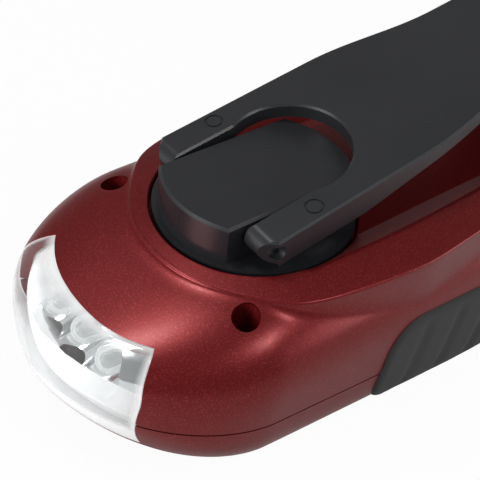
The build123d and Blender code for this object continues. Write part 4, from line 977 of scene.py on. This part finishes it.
class FLASHLIGHT_OT_reflector(bpy.types.Operator):
    """Plated reflector: three bowls that run into each other, with a faceted outer margin"""

    bl_idname = "flashlight.reflector"
    bl_label = "Reflector"

    def execute(self, context):
        sizes = context.scene.flashlight_sizes
        half = sizes.half_width / MM
        y, z = lens_patch(np.linspace(-1, 1, 241), np.linspace(0, 1, 101), REFLECTOR_LOW, REFLECTOR_INSET)
        x = nose_surface(y, z, half, sizes.lens_wall / MM + REFLECTOR_GAP)[..., 0]
        x = np.maximum(x, BOWL_FRONT)
        for step in (-1, 0, 1):
            away = np.hypot(y - step * LAMP_PITCH, z - LAMP_HEIGHT)
            wall = BOWL_FOOT + BOWL_RISE * (np.maximum(away - LAMP_HOLE, 0) / BOWL_RUN) ** BOWL_POWER
            x = np.maximum(x, BOWL_BACK - np.where(away < LAMP_HOLE, BOWL_FOOT * away / LAMP_HOLE, wall))
        front = np.stack([x, y, z], axis=-1)
        back = front.copy()
        back[..., 0] = BOWL_BACK + REFLECTOR_BACK
        piece = sheet_to_mesh("reflector_bowls", front, back, "chrome_reflector", 28.0)
        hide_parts("reflector")
        return {"FINISHED"}


def grip_outline_distance(x, z):
    """Distance inside the grip's rounded outline, less than 0 outside it."""
    climb = (x - GRIP_CLIMB_FROM) * math.tan(math.radians(HUB_TILT))
    low = GRIP_LOW + climb * GRIP_LOW_CLIMB
    high = GRIP_HIGH + climb * GRIP_HIGH_CLIMB
    dx = np.abs(x - (GRIP_FRONT + GRIP_BACK) / 2) - ((GRIP_BACK - GRIP_FRONT) / 2 - GRIP_CORNER)
    dz = np.abs(z - (low + high) / 2) - ((high - low) / 2 - GRIP_CORNER)
    corner = np.hypot(np.maximum(dx, 0), np.maximum(dz, 0))
    return GRIP_CORNER - (corner + np.minimum(np.maximum(dx, dz), 0))


class FLASHLIGHT_OT_grips(bpy.types.Operator):
    """Soft side grips: the housing's side carried outwards, with finger grooves and rounded edges"""

    bl_idname = "flashlight.grips"
    bl_label = "Side grips"
    REACH = 45.0

    def execute(self, context):
        sizes = context.scene.flashlight_sizes
        half = sizes.half_width / MM
        proud = sizes.grip_proud / MM
        count = 260
        angle = np.arange(count) * 2 * np.pi / count
        ray = np.stack([np.cos(angle), np.sin(angle)], axis=1)
        far = furthest(lambda mid: grip_outline_distance(*(GRIP_MIDDLE + ray * mid).T)[:, None] > 0,
                       (count, 1), self.REACH)
        shares = np.concatenate([[0.002], np.linspace(0.05, 0.86, 26), np.linspace(0.875, 1.0, 14)])
        for side, hand in ((-1, "right"), (1, "left")):
            rings = []
            for share in shares[::-1]:
                x, z = (GRIP_MIDDLE + ray * far * share).T
                gap = np.maximum(grip_outline_distance(x, z), 0)
                start = np.stack([x, np.zeros(count), z], axis=1)
                skin = cast(start, start + [0, side, 0], half, reach=40.0)
                dome = np.sqrt(np.clip(1 - (1 - np.clip(gap / GRIP_EDGE, 0, 1)) ** 2, 0, 1))
                groove = np.clip(np.cos((x + GROOVE_SHIFT) / GROOVE_PITCH * 2 * np.pi), 0, 1) ** 2
                groove *= GROOVE_DEPTH * np.clip((gap - GROOVE_CLEAR) / GROOVE_FADE, 0, 1)
                skin[:, 1] += side * ((proud + GRIP_SINK) * dome - GRIP_SINK - groove)
                rings.append(skin)
            rings = np.array([rings[0] + [0, -side * GRIP_UNDER, 0]] + rings)
            piece = rings_to_mesh("grip_" + hand + "_skin", rings[:, ::-side], "housing", "grip_rubber",
                                  sharp=60.0, capped=True)
            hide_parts("side_grip_" + hand)
        return {"FINISHED"}


class FLASHLIGHT_OT_finishes(bpy.types.Operator):
    """Procedural finishes, and their place on the frame's own nodes"""

    bl_idname = "flashlight.finishes"
    bl_label = "Finishes"

    def execute(self, context):
        colours = context.scene.flashlight_colours
        red = red_lacquer(tuple(colours.lacquer))
        plastic = black_plastic(tuple(colours.plastic))
        hub = hub_plastic(tuple(colours.plastic))
        rubber = grip_rubber(tuple(colours.rubber))
        # Both clear finishes carry clear_cover's faint painted glow.
        cover = clear_cover("lens_clear", (0.95, 0.955, 0.96), 0.02, 0.62)
        lamp = clear_cover("lamp_clear", (0.95, 0.95, 0.95), 0.30, 0.3)
        chrome = plated("reflector_chrome", (0.90, 0.91, 0.92), 0.07, 900.0, 0.20)
        steel = plated("zinc_steel", (0.55, 0.55, 0.54), 0.28, 1500.0, 0.15)
        dark_steel = plated("pin_steel", (0.16, 0.16, 0.17), 0.30, 1500.0, 0.10)
        magnet = plated("magnet_grey", (0.18, 0.18, 0.19), 0.40, 900.0, 0.2)
        brass = plated("brass_pinion", (0.72, 0.50, 0.20), 0.22, 1500.0, 0.12)
        nickel = plated("nickel_cell", (0.68, 0.68, 0.66), 0.18, 800.0, 0.05)
        white = moulded("white_gear", (0.72, 0.70, 0.64))
        black = moulded("board_black", (0.020, 0.020, 0.022))
        green = circuit_board("board_green")
        copper = winding("copper_coil")
        worn = {
            "upper_shell": red, "lower_shell": red, "seam_lip": plastic, "side_grip_right": rubber,
            "side_grip_left": rubber, "lens": cover, "reflector": chrome, "lamps": lamp, "lamp_board": green,
            "hub_bush": white, "gear_plate": steel, "gear_axles": steel, "plate_screws": steel,
            "case_screws": dark_steel, "stator_can": steel, "stator_coil": copper, "battery_cells": nickel,
            "battery_contacts": steel, "control_board": green, "board_parts": black, "power_switch": black,
            "power_button": plastic, "crank_hub": hub, "drive_gear": white, "crank_screw": steel,
            "pivot_pins": dark_steel, "crank_arm": plastic, "knob_pin": dark_steel, "crank_knob": plastic,
            "front_idler": white, "rear_idler": white, "rotor_shaft": steel, "rotor_pinion": brass,
            "rotor_magnet": magnet}
        missing = set(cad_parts) - set(worn)
        if missing:
            raise RuntimeError("no finish for " + ", ".join(sorted(missing)))
        for name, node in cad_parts.items():
            for mat_slot in node.material_slots:
                mat_slot.material = worn[name]
        return {"FINISHED"}


class FLASHLIGHT_OT_stage(bpy.types.Operator):
    """Pale floor, soft studio lamps and the camera at the photograph's angle"""

    bl_idname = "flashlight.stage"
    bl_label = "Stage"
    FLOOR_HALF = 3.0
    FLOOR_GLOW = 0.96
    SKY = 0.26
    AIM = (-0.02, 0.0, 0.03)
    LIGHTS = (
        ("nose_softbox", (-0.22, 0.20, 0.58), 0.10, 1.1),
        ("shoulder_softbox", (0.03, -0.33, 0.53), 0.14, 0.8),
        ("front_card", (-0.66, 0.06, 0.11), 0.30, 3.6),
        ("tail_fill", (0.50, -0.50, 0.25), 0.35, 1.6))
    CAMERA_LENS = 67.68
    CAMERA_PLACE = (-0.1240, -0.09035, 0.12207)
    CAMERA_AXES = (
        (0.76692, -0.60466, 0.21497),
        (0.23108, 0.57271, 0.78652),
        (-0.59869, -0.55353, 0.57894))

    def execute(self, context):
        scene = context.scene
        edge = self.FLOOR_HALF
        mesh = bpy.data.meshes.new("floor")
        mesh.from_pydata([(-edge, -edge, 0), (edge, -edge, 0), (edge, edge, 0), (-edge, edge, 0)], [],
                         [(0, 1, 2, 3)])
        floor = bpy.data.objects.new("floor", mesh)
        scene.collection.objects.link(floor)
        paper = Finish("floor_paper")
        path = paper.add("ShaderNodeLightPath")
        seen = Wire(paper, path.outputs["Is Camera Ray"]) + Wire(paper, path.outputs["Is Transmission Ray"])
        cloth = paper.add("ShaderNodeBsdfDiffuse", None, {
            "Color": opaque(tuple(scene.flashlight_colours.floor))})
        glow = paper.add("ShaderNodeEmission", None, {"Color": WHITE, "Strength": 1.0})
        paper.show(paper.add("ShaderNodeMixShader", None, {
            0: seen.clamped() * self.FLOOR_GLOW, 1: cloth.outputs[0], 2: glow.outputs[0]}))
        mesh.materials.append(paper.material)
        scene.world = bpy.data.worlds.new("studio")
        scene.world.use_nodes = True
        sky = Finish("studio", scene.world.node_tree, "ShaderNodeOutputWorld")
        seen = sky.add("ShaderNodeLightPath").outputs["Is Camera Ray"]
        dim = sky.add("ShaderNodeBackground", None, {"Color": WHITE, "Strength": self.SKY})
        white = sky.add("ShaderNodeBackground", None, {"Color": WHITE, "Strength": 1.0})
        sky.show(sky.add("ShaderNodeMixShader", None, {0: seen, 1: dim.outputs[0], 2: white.outputs[0]}))
        for name, place, size, power in self.LIGHTS:
            light = bpy.data.lights.new(name, "AREA")
            light.shape = "SQUARE"
            light.size = size
            light.energy = power
            lamp = bpy.data.objects.new(name, light)
            scene.collection.objects.link(lamp)
            aim = Vector(self.AIM) - Vector(place)
            lamp.matrix_world = Matrix.Translation(place) @ aim.to_track_quat("-Z", "Y").to_matrix().to_4x4()
        data = bpy.data.cameras.new("photo_camera")
        data.sensor_width = 36.0
        data.lens = self.CAMERA_LENS
        camera = bpy.data.objects.new("photo_camera", data)
        scene.collection.objects.link(camera)
        camera.matrix_world = Matrix.Translation(self.CAMERA_PLACE) @ Matrix(self.CAMERA_AXES).transposed().to_4x4()
        scene.camera = camera
        scene.view_settings.view_transform = "Standard"
        return {"FINISHED"}


class FLASHLIGHT_PT_panel(bpy.types.Panel):
    """Sidebar panel that lists the flashlight's pieces and their sizes."""

    bl_idname = "FLASHLIGHT_PT_panel"
    bl_label = "Hand crank flashlight"
    bl_space_type = "VIEW_3D"
    bl_region_type = "UI"
    bl_category = "Flashlight"

    def draw(self, context):
        layout = self.layout
        for operator in OPERATORS:
            layout.operator(operator.bl_idname)
        for group in (context.scene.flashlight_sizes, context.scene.flashlight_colours):
            box = layout.box()
            for key in group.__annotations__:
                box.prop(group, key)


OPERATORS = (
    FLASHLIGHT_OT_finishes,
    FLASHLIGHT_OT_upper_shell,
    FLASHLIGHT_OT_lower_shell,
    FLASHLIGHT_OT_lens,
    FLASHLIGHT_OT_reflector,
    FLASHLIGHT_OT_grips,
    FLASHLIGHT_OT_stage,
)
CLASSES = (Sizes, Colours) + OPERATORS + (FLASHLIGHT_PT_panel,)


def register():
    for item in CLASSES:
        bpy.utils.register_class(item)
    bpy.types.Scene.flashlight_sizes = bpy.props.PointerProperty(type=Sizes)
    bpy.types.Scene.flashlight_colours = bpy.props.PointerProperty(type=Colours)


def unregister():
    del bpy.types.Scene.flashlight_colours
    del bpy.types.Scene.flashlight_sizes
    for item in reversed(CLASSES):
        bpy.utils.unregister_class(item)


def main():
    """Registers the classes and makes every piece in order."""
    register()
    bpy.ops.flashlight.finishes()
    bpy.ops.flashlight.upper_shell()
    bpy.ops.flashlight.lower_shell()
    bpy.ops.flashlight.lens()
    bpy.ops.flashlight.reflector()
    bpy.ops.flashlight.grips()
    bpy.ops.flashlight.stage()


if __name__ == "__main__":
    main()
